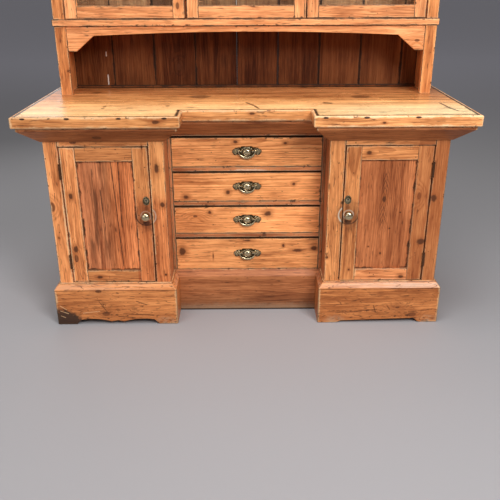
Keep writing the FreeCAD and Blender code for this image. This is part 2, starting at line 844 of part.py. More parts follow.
def make_cornice():
    inner = [(-half_upper, carcass_back), (-half_upper, upper_setback),
             (half_upper, upper_setback), (half_upper, carcass_back)]
    p = cornice_projection
    outer = [(-half_upper - p, carcass_back), (-half_upper - p, upper_setback - p),
             (half_upper + p, upper_setback - p), (half_upper + p, carcass_back)]
    cove = cornice_bottom + cornice_bead
    top = overall_height - cornice_fillet
    hollow = []
    for i in range(cornice_cove_bends + 1):
        turn = math.pi / 2 * i / cornice_cove_bends
        hollow.append((1 - (1 - cornice_cove_share) * math.cos(turn), cove + (top - cove) * math.sin(turn)))
    section = [(0, cornice_bottom), (cornice_bead_share, cornice_bottom), (cornice_bead_share, cove)]
    section += hollow + [(1, overall_height), (0, overall_height)]
    export("cornice", mitred_lengths(section, inner, outer))


# Glazed doors: outer two hung on the face stiles, the middle one on the left muntin
glazed_opening = half_upper - upper_stile_width
glazed_width = (2 * glazed_opening - 3 * hinge_gap - 2 * free_gap) / 3
glazed_low = ledge_top_height + door_gap
glazed_high = head_bottom - door_gap
first_left = -glazed_opening + hinge_gap
second_left = first_left + glazed_width + free_gap + hinge_gap
third_left = second_left + glazed_width + free_gap
glazed_edges = [(x, x + glazed_width) for x in (first_left, second_left, third_left)]
glazed_frame_edges = [-glazed_opening, second_left - hinge_gap, glazed_opening]
glazed_ways = (1, 1, -1)
glazed_names = ("left", "middle", "right")


def glazed_hinges(i):
    heights = (glazed_low + small_hinge_inset, glazed_high - small_hinge_inset)
    on_muntin = upper_frame_thickness if glazed_names[i] == "middle" else 0
    return [Hinge(glazed_frame_edges[i], glazed_ways[i], upper_setback, z, small_hinge_height,
                  small_knuckle_radius, small_pin_radius, leaf_reach + on_muntin) for z in heights]


def make_glazed_doors():
    frame_side = []
    for i, name in enumerate(glazed_names):
        x0, x1 = glazed_edges[i]
        glass_y = upper_setback + glass_recess
        frame = framed_door(x0, x1, upper_setback, glazed_door_thickness, glazed_low, glazed_high,
                            glazed_stile_width, glazed_rail_width, glazed_rail_width,
                            glass_y - groove_play, glass_thickness + 2 * groove_play, glass_groove_depth)
        if name == "middle":
            frame.append(block(x1 - bead_width, x1, upper_setback - bead_height, upper_setback,
                               glazed_low, glazed_high))
        export(name + "_glazed_frame", frame)
        reach = glass_groove_depth - groove_play
        glass = block(x0 + glazed_stile_width - reach, x1 - glazed_stile_width + reach,
                      glass_y, glass_y + glass_thickness,
                      glazed_low + glazed_rail_width - reach, glazed_high - glazed_rail_width + reach)
        export(name + "_glass", [glass])
        free_edge = x1 if glazed_ways[i] > 0 else x0
        knob_at = free_edge - glazed_ways[i] * glazed_stile_width / 2
        height = glazed_low + small_knob_height_share * (glazed_high - glazed_low)
        knob = turned_knob(knob_at, upper_setback, height, small_knob_diameter, small_knob_projection)
        hinges = glazed_hinges(i)
        export(name + "_glazed_brasses", [hinge.door_leaf() for hinge in hinges] + [knob])
        frame_side += [hinge.frame_leaf() for hinge in hinges]
    export("glazed_hinges", frame_side)


def main():
    os.makedirs("parts", exist_ok=True)
    make_plinths()
    make_base_carcass()
    make_face_frames()
    make_cupboard_door()
    make_drawer_frame()
    make_drawers()
    make_worktop()
    make_upper_carcass()
    make_cabinet()
    make_cornice()
    make_glazed_doors()


main()
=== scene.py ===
import json
import math
from contextlib import contextmanager

import bmesh
import bpy
import numpy as np
from bpy.props import FloatProperty, FloatVectorProperty, PointerProperty
from mathutils import Matrix, Vector

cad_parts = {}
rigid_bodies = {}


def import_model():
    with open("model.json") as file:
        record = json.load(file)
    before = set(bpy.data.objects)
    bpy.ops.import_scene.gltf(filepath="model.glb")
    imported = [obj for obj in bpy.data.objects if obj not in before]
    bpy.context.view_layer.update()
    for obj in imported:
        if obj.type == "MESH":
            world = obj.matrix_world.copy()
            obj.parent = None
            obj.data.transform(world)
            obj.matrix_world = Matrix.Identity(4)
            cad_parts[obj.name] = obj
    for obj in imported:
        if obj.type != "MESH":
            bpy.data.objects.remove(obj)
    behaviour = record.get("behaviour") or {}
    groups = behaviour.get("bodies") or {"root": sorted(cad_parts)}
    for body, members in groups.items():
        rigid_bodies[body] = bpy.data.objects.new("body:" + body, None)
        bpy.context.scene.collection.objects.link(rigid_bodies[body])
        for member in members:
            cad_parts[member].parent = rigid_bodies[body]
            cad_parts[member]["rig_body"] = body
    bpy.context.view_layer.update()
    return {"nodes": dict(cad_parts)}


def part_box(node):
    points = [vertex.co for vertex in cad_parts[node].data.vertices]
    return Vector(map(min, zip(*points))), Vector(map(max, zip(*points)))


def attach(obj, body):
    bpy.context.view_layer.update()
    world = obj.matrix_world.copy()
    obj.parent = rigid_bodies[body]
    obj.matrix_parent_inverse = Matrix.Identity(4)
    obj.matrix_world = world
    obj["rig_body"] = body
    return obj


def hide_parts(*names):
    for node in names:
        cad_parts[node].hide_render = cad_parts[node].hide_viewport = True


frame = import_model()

bl_info = {
    "name": "Pine Kitchen Dresser",
    "version": (1, 0, 0),
    "blender": (4, 5, 0),
    "location": "View3D > Sidebar > Dresser",
    "description": "Waxed pine, brass and old glass for a stepped kitchen dresser",
    "category": "Object",
}


def colour_property(name, description, default):
    return FloatVectorProperty(name=name, description=description, default=default + (1.0,), size=4,
                               min=0.0, max=1.0, subtype="COLOR")


def length_property(name, description, default):
    return FloatProperty(name=name, description=description, default=default, min=0.0, unit="LENGTH",
                         precision=4)


def angle_property(name, description, default):
    return FloatProperty(name=name, description=description, default=default, subtype="ANGLE")


def power_property(name, description, default):
    return FloatProperty(name=name, description=description, default=default, min=0.0, unit="POWER")


class DresserTimber(bpy.types.PropertyGroup):
    """Colours and arrises of the old pine."""
    early: colour_property("Early wood", "Pale honey wood between the growth lines", (0.74, 0.278, 0.090))
    late: colour_property("Late wood", "Orange brown growth lines", (0.37, 0.100, 0.026))
    knot: colour_property("Knot", "Dark brown heart of a knot", (0.085, 0.026, 0.010))
    worn: colour_property("Worn edge", "Pale wood where the wax has rubbed off", (0.93, 0.58, 0.30))
    # This colour also serves as painted shade: the gaps above the drawers and the contact shadow at the foot
    # of the recessed plinth
    grime: colour_property("Grime", "Old wax and dirt in the joints", (0.030, 0.013, 0.008))
    raw_early: colour_property("Bare early wood", "Unwaxed wood inside the drawers", (0.62, 0.40, 0.22))
    raw_late: colour_property("Bare late wood", "Growth lines of the unwaxed wood", (0.42, 0.23, 0.11))
    dark_early: colour_property("Back board", "Stained boards of the rack", (0.140, 0.041, 0.012))
    dark_late: colour_property("Back board figure", "Growth lines of those boards", (0.050, 0.014, 0.005))
    ring: length_property("Growth ring", "Width of one year's growth", 0.0060)
    arris: length_property("Rounded arris", "How far the edges of the boards are worn round", 0.0013)


class DresserMetal(bpy.types.PropertyGroup):
    """Colours and sizes of the brass and iron."""
    brass: colour_property("Brass", "Rubbed brass", (0.58, 0.47, 0.29))
    patina: colour_property("Patina", "Dull brown brass in the hollows", (0.070, 0.048, 0.022))
    iron: colour_property("Iron", "Dark hinge iron", (0.030, 0.026, 0.024))
    rust: colour_property("Rust", "Brown bloom on the iron", (0.10, 0.042, 0.018))
    knob_radius: length_property("Knob radius", "Half width of a cupboard knob", 0.0165)
    plate_width: length_property("Handle width", "Width of a drawer handle's back plate", 0.114)
    bail_drop: length_property("Bail drop", "How far a drawer handle hangs below its pins", 0.031)


class DresserStage(bpy.types.PropertyGroup):
    """Floor, light and camera."""
    floor: colour_property("Floor", "Plain pale floor", (0.372, 0.361, 0.373))
    far_floor: colour_property("Far floor", "Paler floor well behind the dresser", (0.78, 0.76, 0.85))
    backdrop: colour_property("Backdrop", "Colour beyond the floor", (0.21, 0.207, 0.214))
    key: power_property("Key light", "Soft light in front, above and to the right", 106.0)
    fill: power_property("Fill light", "Softer lights above, at the left and behind", 24.0)
    ambient: FloatProperty(name="Ambient", description="Light from all round", default=0.14, min=0.0)
    lens: FloatProperty(name="Lens", description="Focal length on a 36 mm frame", default=46.13, min=1.0,
                        unit="CAMERA")
    eye: FloatVectorProperty(name="Eye", description="Place of the camera",
                             default=(-0.0074, -2.5622, 1.2976), subtype="TRANSLATION")
    pitch: angle_property("Pitch", "How far the camera looks down", math.radians(23.145))
    yaw: angle_property("Yaw", "How far the camera looks to the right", 0.0075)
    roll: angle_property("Roll", "Turn of the camera about its line of sight", -0.0036)


def timber():
    return bpy.context.scene.dresser_timber


def metal():
    return bpy.context.scene.dresser_metal


SIDES = ("left", "right")
DRAWERS = ["drawer_%d" % number for number in range(1, 5)]

# Shaping

FLAT_ANGLE, ARRIS_ANGLE = math.radians(0.5), math.radians(25.0)
BOARD_SHADING, TURNED_SHADING = math.radians(40.0), math.radians(35.0)
SHORTEST_ARRIS, SHORTEST_METAL_EDGE = 0.012, 0.004
PLINTH_ARRIS, FRAME_ARRIS, RAIL_ARRIS, GLAZED_ARRIS = 0.0036, 0.0016, 0.0018, 0.0014
PLANK_ARRIS, LIPPING_ARRIS, BACK_BOARD_ARRIS = 0.0009, 0.0012, 0.0020
METAL_ARRIS, LOCK_CASE_ARRIS = 0.0004, 0.0006


def clear_selection():
    if bpy.context.mode != "OBJECT":
        bpy.ops.object.mode_set(mode="OBJECT")
    bpy.ops.object.select_all(action="DESELECT")


def pick(piece):
    """Makes a piece the only one selected."""
    clear_selection()
    piece.select_set(True)
    bpy.context.view_layer.objects.active = piece


@contextmanager
def editing(piece, action="SELECT"):
    """Edit mode on one piece, with all of it selected or nothing."""
    pick(piece)
    bpy.ops.object.mode_set(mode="EDIT")
    bpy.ops.mesh.select_all(action=action)
    yield
    bpy.ops.object.mode_set(mode="OBJECT")


def apply_place(piece):
    pick(piece)
    bpy.ops.object.transform_apply(location=True, rotation=True, scale=True)
    return piece


def join(pieces, name):
    """One piece from several."""
    pick(pieces[0])
    for piece in pieces:
        piece.select_set(True)
    bpy.ops.object.join()
    pieces[0].name = name
    return pieces[0]


def copy_moved(piece, name, move):
    """Copy of a piece with its own mesh, moved in the mesh."""
    copy = bpy.data.objects.new(name, piece.data.copy())
    copy.data.transform(Matrix.Translation(move))
    bpy.context.scene.collection.objects.link(copy)
    return copy


def places_of(mesh):
    places = np.empty(len(mesh.vertices) * 3, np.float32)
    mesh.vertices.foreach_get("co", places)
    return places.reshape(-1, 3).astype(float)


def solids_of(mesh):
    """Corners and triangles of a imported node, joined solid by solid so that touching boards stay apart."""
    places = places_of(mesh)
    same = np.unique(np.round(places * 1e6).astype(np.int64), axis=0, return_inverse=True)[1].ravel()
    corners, faces, mine, open_edges = [], [], {}, set()
    for face in mesh.polygons:
        ring = []
        for vertex in face.vertices:
            key = int(same[vertex])
            if key not in mine:
                mine[key] = len(corners)
                corners.append(places[vertex])
            ring.append(mine[key])
        faces.append(ring)
        for a, b in zip(ring, ring[1:] + ring[:1]):
            if (b, a) in open_edges:
                open_edges.remove((b, a))
            else:
                open_edges.add((a, b))
        if not open_edges:
            mine = {}
    return corners, faces


def joined_copy(node, name):
    """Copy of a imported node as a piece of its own, with its loose triangles joined into flat faces."""
    mesh = bpy.data.meshes.new(name)
    corners, faces = solids_of(frame["nodes"][node].data)
    mesh.from_pydata(corners, [], faces)
    piece = bpy.data.objects.new(name, mesh)
    bpy.context.scene.collection.objects.link(piece)
    with editing(piece):
        bpy.ops.mesh.dissolve_limited(angle_limit=FLAT_ANGLE)
    return piece


def smooth(piece, angle=BOARD_SHADING):
    pick(piece)
    bpy.ops.object.shade_smooth_by_angle(angle=angle)
    even = piece.modifiers.new("even_flats", "WEIGHTED_NORMAL")
    even.keep_sharp = True
    bpy.ops.object.modifier_apply(modifier=even.name)


def round_arrises(piece, arris, shortest=SHORTEST_ARRIS):
    """Bevels the long convex edges of every board and evens the shading of the flats."""
    with editing(piece, "DESELECT"):
        bpy.ops.mesh.select_mode(type="EDGE")
        body = bmesh.from_edit_mesh(piece.data)
        for edge in body.edges:
            if len(edge.link_faces) == 2 and edge.is_convex and edge.calc_length() > shortest:
                edge.select = edge.calc_face_angle() > ARRIS_ANGLE
        body.select_flush_mode()
        bmesh.update_edit_mesh(piece.data)
        bpy.ops.mesh.bevel(offset=arris, segments=2, affect="EDGES", clamp_overlap=False)
    smooth(piece)


def boards_of(mesh):
    """Number of the separate board that each vertex belongs to."""
    label = np.arange(len(mesh.vertices))
    ends = np.empty(len(mesh.edges) * 2, np.int32)
    mesh.edges.foreach_get("vertices", ends)
    a, b = ends[0::2], ends[1::2]
    while True:
        before = label.copy()
        low = np.minimum(label[a], label[b])
        np.minimum.at(label, a, low)
        np.minimum.at(label, b, low)
        label = label[label]
        if (label == before).all():
            return np.unique(label, return_inverse=True)[1]


def each_board(mesh):
    """Points, lowest corner and highest corner of every separate board."""
    label, places = boards_of(mesh), places_of(mesh)
    for number in range(label.max() + 1):
        mine = label == number
        yield mine, places[mine].min(0), places[mine].max(0)


def points_of_boards(mesh, test):
    """Points of the boards whose lowest and highest corners pass the test."""
    chosen = np.zeros(len(mesh.vertices), bool)
    for mine, low, high in each_board(mesh):
        if test(low, high):
            chosen |= mine
    return chosen


def drop_boards(piece, test):
    """Deletes the separate solids of a piece whose lowest and highest corners pass the test."""
    doomed = points_of_boards(piece.data, test)
    with editing(piece, "DESELECT"):
        bpy.ops.mesh.select_mode(type="VERT")
    piece.data.vertices.foreach_set("select", doomed)
    bpy.ops.object.mode_set(mode="EDIT")
    bpy.ops.mesh.delete(type="VERT")
    bpy.ops.object.mode_set(mode="OBJECT")


def write_attribute(mesh, name, kind, values):
    found = mesh.attributes.new(name, kind, "POINT")
    key = "vector" if kind == "FLOAT_VECTOR" else "value"
    found.data.foreach_set(key, np.ascontiguousarray(values, np.float32).ravel())


def lay_grain(piece, seeds=()):
    """Gives each board its own coordinates along, across and through the grain, its size and a seed."""
    mesh = piece.data
    places = places_of(mesh)
    local, half, seed = np.zeros_like(places), np.zeros_like(places), np.zeros(len(places))
    for number, (mine, low, high) in enumerate(each_board(mesh)):
        centre, size = (low + high) / 2, (high - low) / 2
        order = np.argsort(-size, kind="stable")
        local[mine] = (places[mine] - centre)[:, order]
        half[mine] = size[order]
        spread = np.round(centre * 1000) @ np.array((0.1271, 0.3117, 0.0749))
        seed[mine] = seeds[number] if number < len(seeds) else (math.sin(spread) * 437.58) % 1.0
    write_attribute(mesh, "board", "FLOAT_VECTOR", local)
    write_attribute(mesh, "half", "FLOAT_VECTOR", half)
    write_attribute(mesh, "seed", "FLOAT", seed)


def lay_relief(piece, depth, face=None, lift=0.0):
    """Marks how far each point of a fitting stands out of the face behind it."""
    y = places_of(piece.data)[:, 1]
    behind = y.max() if face is None else face
    write_attribute(piece.data, "relief", "FLOAT", np.clip((behind - y) / depth + lift, 0, 1))


def hand_over(piece, node):
    """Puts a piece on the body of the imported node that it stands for."""
    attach(piece, frame["nodes"][node]["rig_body"])
    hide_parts(node)


def dress(node, finish, arris=None, seeds=()):
    """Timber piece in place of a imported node."""
    piece = joined_copy(node, node + "_timber")
    round_arrises(piece, timber().arris if arris is None else arris)
    lay_grain(piece, seeds)
    piece.data.materials.append(finish_of(finish))
    hand_over(piece, node)
    return piece


def fitting(node, slot, depth):
    """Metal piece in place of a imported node, its edges eased."""
    piece = joined_copy(node, node + "_metal")
    round_arrises(piece, METAL_ARRIS, SHORTEST_METAL_EDGE)
    lay_relief(piece, depth)
    piece.data.materials.append(finish_of(slot))
    hand_over(piece, node)


def scaled(profile, radius, reach=1.0):
    return [(radius * out, reach * along) for out, along in profile]


def turned(name, centre, profile, sides=40, tall=1.0):
    """Metal turned about an axis out of the front: a circle drawn out along (radius, reach) points."""
    x, y, z = centre
    clear_selection()
    bpy.ops.mesh.primitive_circle_add(vertices=sides, radius=profile[0][0], fill_type="NGON",
                                      location=(x, y - profile[0][1], z), rotation=(math.pi / 2, 0, 0))
    piece = apply_place(bpy.context.object)
    piece.name = name
    with editing(piece):
        for (before, low), (after, high) in zip(profile, profile[1:]):
            bpy.ops.mesh.extrude_region_move(TRANSFORM_OT_translate={"value": (0, low - high, 0)})
            bpy.ops.transform.resize(value=(after / before, 1, after / before),
                                     center_override=(x, y - high, z))
        bpy.ops.mesh.select_all(action="SELECT")
        bpy.ops.transform.resize(value=(1, 1, tall), center_override=(x, y, z))
        bpy.ops.mesh.normals_make_consistent(inside=False)
    smooth(piece, TURNED_SHADING)
    return piece


def middle(node):
    low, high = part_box(node)
    return (low + high) / 2


# Finishes

COLOUR, VALUE, VECTOR = "NodeSocketColor", "NodeSocketFloat", "NodeSocketVector"
BLACK = (0, 0, 0, 1)


class Sketch:
    """Wires shader nodes in a few words."""

    def __init__(self, tree):
        self.tree = tree

    def node(self, kind, **settings):
        node = self.tree.nodes.new(kind)
        for key, value in settings.items():
            setattr(node, key, value)
        return node

    def feed(self, socket, value):
        if isinstance(value, bpy.types.NodeSocket):
            self.tree.links.new(value, socket)
        elif value is not None:
            socket.default_value = value if isinstance(value, (int, float)) else tuple(value)

    def feed_all(self, node, **values):
        for name, value in values.items():
            self.feed(node.inputs[name.replace("_", " ")], value)
        return node

    def math(self, operation, *values):
        node = self.node("ShaderNodeMath", operation=operation)
        for socket, value in zip(node.inputs, values):
            self.feed(socket, value)
        return node.outputs[0]

    def chain(self, operation, values):
        total = values[0]
        for value in values[1:]:
            total = self.math(operation, total, value)
        return total

    def add(self, *values):
        return self.chain("ADD", values)

    def times(self, *values):
        return self.chain("MULTIPLY", values)

    def less(self, a, b):
        return self.math("SUBTRACT", a, b)

    def apart(self, a, b):
        """Distance between two values."""
        return self.math("ABSOLUTE", self.less(a, b))

    def vector(self, operation, a, b=None):
        node = self.node("ShaderNodeVectorMath", operation=operation)
        self.feed(node.inputs[0], a)
        self.feed(node.inputs[1], b)
        return node.outputs["Value"] if operation in ("LENGTH", "DOT_PRODUCT") else node.outputs[0]

    def split(self, vector):
        node = self.node("ShaderNodeSeparateXYZ")
        self.feed(node.inputs[0], vector)
        return node.outputs

    def combine(self, x, y, z):
        return self.feed_all(self.node("ShaderNodeCombineXYZ"), X=x, Y=y, Z=z).outputs[0]

    def mix(self, amount, a, b, blend="MIX"):
        node = self.node("ShaderNodeMix", data_type="RGBA", blend_type=blend)
        # The node's own numbers for the factor and the two colours
        for socket, value in ((0, amount), (6, a), (7, b)):
            self.feed(node.inputs[socket], value)
        return node.outputs[2]

    def noise(self, vector, scale, detail=3.0, roughness=0.55):
        node = self.node("ShaderNodeTexNoise")
        self.feed_all(node, Vector=vector, Scale=scale, Detail=detail, Roughness=roughness)
        return node.outputs[0]

    def sway(self, vector, scale, detail=3.0, roughness=0.55):
        """Noise about zero."""
        return self.less(self.noise(vector, scale, detail, roughness), 0.5)

    def drawn_out(self, vector, stretch, detail, roughness=0.55):
        """Noise with its own waves per metre along each axis."""
        return self.noise(self.vector("MULTIPLY", vector, stretch), 1.0, detail, roughness)

    def cells(self, vector, scale, dimensions):
        node = self.node("ShaderNodeTexVoronoi", voronoi_dimensions=dimensions)
        self.feed_all(node, Vector=vector, Scale=scale)
        return node.outputs["Distance"], self.split(node.outputs["Color"])

    def step(self, value, low, high):
        """Smooth rise from 0 at low to 1 at high."""
        node = self.node("ShaderNodeMapRange", interpolation_type="SMOOTHSTEP")
        return self.feed_all(node, Value=value, From_Min=low, From_Max=high).outputs[0]

    def band(self, value, low, risen, full, high):
        """Smooth rise from low to risen, and fall from full to high."""
        return self.times(self.step(value, low, risen), self.step(value, high, full))

    def attribute(self, name, output="Vector"):
        return self.node("ShaderNodeAttribute", attribute_name=name).outputs[output]

    def place(self):
        """Where the point is on the whole dresser."""
        return self.node("ShaderNodeTexCoord").outputs["Object"]

    def group(self, name, **values):
        node = self.node("ShaderNodeGroup", node_tree=bpy.data.node_groups[name])
        return self.feed_all(node, **values).outputs

    def blend(self, amount, first, second, end):
        """Two shaders, shared out by amount."""
        node = self.node("ShaderNodeMixShader")
        for socket, value in zip(node.inputs, (amount, first.outputs[0], second.outputs[0])):
            self.feed(socket, value)
        self.feed(end.inputs["Surface"], node.outputs[0])


def new_group(name, inputs, outputs):
    tree = bpy.data.node_groups.new(name, "ShaderNodeTree")
    for label, kind, value in inputs:
        tree.interface.new_socket(label, in_out="INPUT", socket_type=kind).default_value = value
    for label, kind in outputs:
        tree.interface.new_socket(label, in_out="OUTPUT", socket_type=kind)
    sketch = Sketch(tree)
    return sketch, sketch.node("NodeGroupInput").outputs, sketch.node("NodeGroupOutput").inputs


# Waves per metre along, across and through a board, then detail and roughness
WAVES = {"slow": ((1.4, 6, 6), 2.0, 0.55), "quick": ((5, 22, 22), 2.0, 0.55),
         "streak": ((1.2, 38, 38), 3.0, 0.6), "pore": ((14, 300, 300), 2.0, 0.55),
         "cloud": ((4, 9, 9), 4.0, 0.62), "grain": ((5, 100, 100), 3.0, 0.65),
         "stain": ((2.6, 11, 11), 4.0, 0.65), "fleck": ((22, 170, 170), 2.0, 0.55)}
SEED_SPREADS = (7.13, 13.71, 29.37)


def make_pine_figure():
    """Growth lines, streaks, pores and knots of one board."""
    sk, given, out = new_group(
        "pine_figure",
        [("Early", COLOUR, BLACK), ("Late", COLOUR, BLACK), ("Knot", COLOUR, BLACK), ("Ring", VALUE, 0.008),
         ("Knot Share", VALUE, 0.4), ("Streak", VALUE, 1.0), ("Board Tone", VALUE, 0.2),
         ("Figure", VALUE, 0.3)],
        [("Color", COLOUR), ("Height", VALUE)])
    board, seed = sk.attribute("board"), sk.attribute("seed", "Fac")
    along, across, through = sk.split(board)
    half = sk.split(sk.attribute("half"))
    s1, s2, s3 = [sk.math("FRACT", sk.times(seed, spread)) for spread in SEED_SPREADS]
    own = sk.vector("ADD", board, sk.combine(sk.times(seed, 41), sk.times(s1, 17), sk.times(s2, 23)))
    wave = {name: sk.drawn_out(own, *shape) for name, shape in WAVES.items()}
    slow, quick, streak, pore, cloud, grain = [
        sk.less(wave[name], 0.5) for name in ("slow", "quick", "streak", "pore", "cloud", "grain")]
    # Knots stand in some cells of a stretched lattice
    spot = sk.combine(sk.add(sk.times(along, 4.3), sk.times(seed, 31)),
                      sk.add(sk.times(across, 8.0), sk.times(s1, 19)), 0)
    reach, tint = sk.cells(spot, 1.0, "2D")
    chosen = sk.math("GREATER_THAN", given["Knot Share"], tint[0])
    reach = sk.add(reach, sk.times(quick, 0.03))
    radius = sk.add(sk.times(tint[1], 0.055), 0.038)
    heart = sk.times(chosen, sk.step(sk.math("DIVIDE", reach, radius), 1.0, 0.72))
    halo = sk.times(chosen, sk.step(reach, 0.30, 0.03))
    # Growth rings about a pith that lies behind the face of the board
    offset = sk.times(sk.less(s1, 0.5), sk.times(half[1], 1.7))
    from_pith = sk.add(sk.less(across, offset), sk.times(slow, 0.035))
    behind = sk.add(through, sk.times(s2, 0.05), 0.03)
    ring = sk.math("SQRT", sk.add(sk.times(from_pith, from_pith), sk.times(behind, behind)))
    ring = sk.add(ring, sk.times(along, sk.times(sk.less(s3, 0.5), 0.07)), sk.times(slow, 0.03),
                  sk.times(quick, 0.004), sk.times(halo, 0.016))
    year = sk.math("FRACT", sk.math("DIVIDE", ring, given["Ring"]))
    late = sk.band(year, 0.28, 0.86, 0.93, 1.0)
    bold = sk.add(given["Figure"], sk.times(slow, 1.1), sk.times(s1, 0.2))
    colour = sk.mix(sk.times(late, bold), given["Early"], given["Late"])
    colour = sk.mix(sk.times(sk.step(wave["stain"], 0.56, 0.74), 0.65), colour, given["Late"])
    colour = sk.mix(sk.times(sk.step(wave["fleck"], 0.60, 0.72), 0.62), colour, given["Knot"])
    amount = sk.add(sk.times(streak, given["Streak"], 1.05), sk.times(pore, 1.25), sk.times(cloud, 1.35),
                    sk.times(grain, 0.60))
    shade = sk.add(1.0, amount, sk.times(sk.less(s3, 0.5), given["Board Tone"]))
    shade = sk.math("MAXIMUM", shade, 0.3)
    warm_shade = sk.combine(shade, sk.math("POWER", shade, 1.3), sk.math("POWER", shade, 1.5))
    colour = sk.mix(1.0, colour, warm_shade, "MULTIPLY")
    colour = sk.mix(sk.times(halo, 0.42), colour, given["Late"])
    rings = sk.math("FRACT", sk.times(reach, 42))
    colour = sk.mix(sk.times(heart, sk.add(sk.times(rings, 0.3), 0.6)), colour, given["Knot"])
    ends = sk.step(sk.less(half[0], sk.math("ABSOLUTE", along)), 0.0010, 0.0004)
    colour = sk.mix(sk.times(ends, 0.35), colour, given["Knot"])
    sk.feed(out["Color"], colour)
    sk.feed(out["Height"], sk.add(sk.times(late, 0.35), sk.times(pore, 0.9), sk.times(heart, 0.6)))


def make_arris_wear():
    """Distance of a point from the nearest edge of its board, as rubbed, grimy and chipped masks; a wide
    grime band is also painted shade in a recess.
    """
    sk, given, out = new_group("arris_wear", [("Reach", VALUE, 0.006), ("Dirt", VALUE, 0.003)],
                               [("Worn", VALUE), ("Grime", VALUE), ("Chips", VALUE)])
    gap = sk.vector("SUBTRACT", sk.attribute("half"), sk.vector("ABSOLUTE", sk.attribute("board")))
    a, b, c = sk.split(gap)
    edge = sk.math("MAXIMUM", sk.math("MINIMUM", a, b), sk.math("MINIMUM", sk.math("MAXIMUM", a, b), c))
    patch = sk.sway(sk.place(), 21.0, 4.0, 0.65)
    fine = sk.sway(sk.place(), 110.0, 2.0)
    rubbed = sk.add(edge, sk.times(patch, given["Reach"], 2.6), sk.times(fine, 0.003))
    sk.feed(out["Worn"], sk.step(rubbed, given["Reach"], 0.0))
    # Grime along the edges; where its reach is set wide, as round the door panels, it is also painted shade
    grime_and_shade_edge = sk.add(edge, sk.times(patch, given["Dirt"], 2.6), sk.times(fine, 0.0022))
    sk.feed(out["Grime"], sk.step(grime_and_shade_edge, given["Dirt"], sk.times(given["Dirt"], 0.4)))
    nick = sk.step(sk.noise(sk.place(), 46.0, 3.0, 0.6), 0.60, 0.68)
    sk.feed(out["Chips"], sk.times(nick, sk.step(sk.add(edge, sk.times(fine, 0.004)), 0.0085, 0.0035)))


def make_old_specks():
    """Dents, worm holes and dark flecks."""
    sk, given, out = new_group("old_specks", [("Share", VALUE, 0.1)], [("Mask", VALUE)])
    reach, tint = sk.cells(sk.place(), 58.0, "3D")
    chosen = sk.math("GREATER_THAN", given["Share"], tint[0])
    size = sk.add(sk.times(tint[1], tint[1], 0.17), 0.05)
    ragged = sk.times(sk.sway(sk.place(), 160.0, 2.0), 0.16)
    sk.feed(out["Mask"], sk.times(chosen, sk.step(sk.add(reach, ragged), size, sk.times(size, 0.5))))


def make_old_scratches():
    """Thin wandering scratches that come and go."""
    sk, given, out = new_group("old_scratches", [("Share", VALUE, 0.3), ("Stretch", VECTOR, (1, 1, 1))],
                               [("Mask", VALUE)])
    place = sk.vector("MULTIPLY", sk.place(), given["Stretch"])
    line = sk.step(sk.apart(sk.noise(place, 21.0, 1.0), 0.5), 0.020, 0.006)
    share = sk.times(given["Share"], 0.3)
    there = sk.step(sk.noise(place, 37.0, 2.0), sk.less(0.75, share), sk.less(0.80, share))
    sk.feed(out["Mask"], sk.times(line, there))


def make_old_metal():
    """Rubbed metal on what stands out, patina in the hollows."""
    sk, given, out = new_group("old_metal", [("Bright", COLOUR, BLACK), ("Dull", COLOUR, BLACK)],
                               [("Color", COLOUR), ("Rough", VALUE), ("Height", VALUE)])
    broad = sk.sway(sk.place(), 60.0, 4.0, 0.6)
    fine = sk.sway(sk.place(), 420.0)
    relief = sk.add(sk.attribute("relief", "Fac"), sk.times(broad, 0.5), sk.times(fine, 0.4))
    rub = sk.step(relief, 0.52, 0.80)
    sk.feed(out["Color"], sk.mix(rub, given["Dull"], given["Bright"]))
    sk.feed(out["Rough"], sk.add(sk.times(sk.less(1.0, rub), 0.30), 0.22, sk.times(fine, 0.12)))
    sk.feed(out["Height"], sk.add(sk.times(broad, 0.6), sk.times(fine, 0.4)))


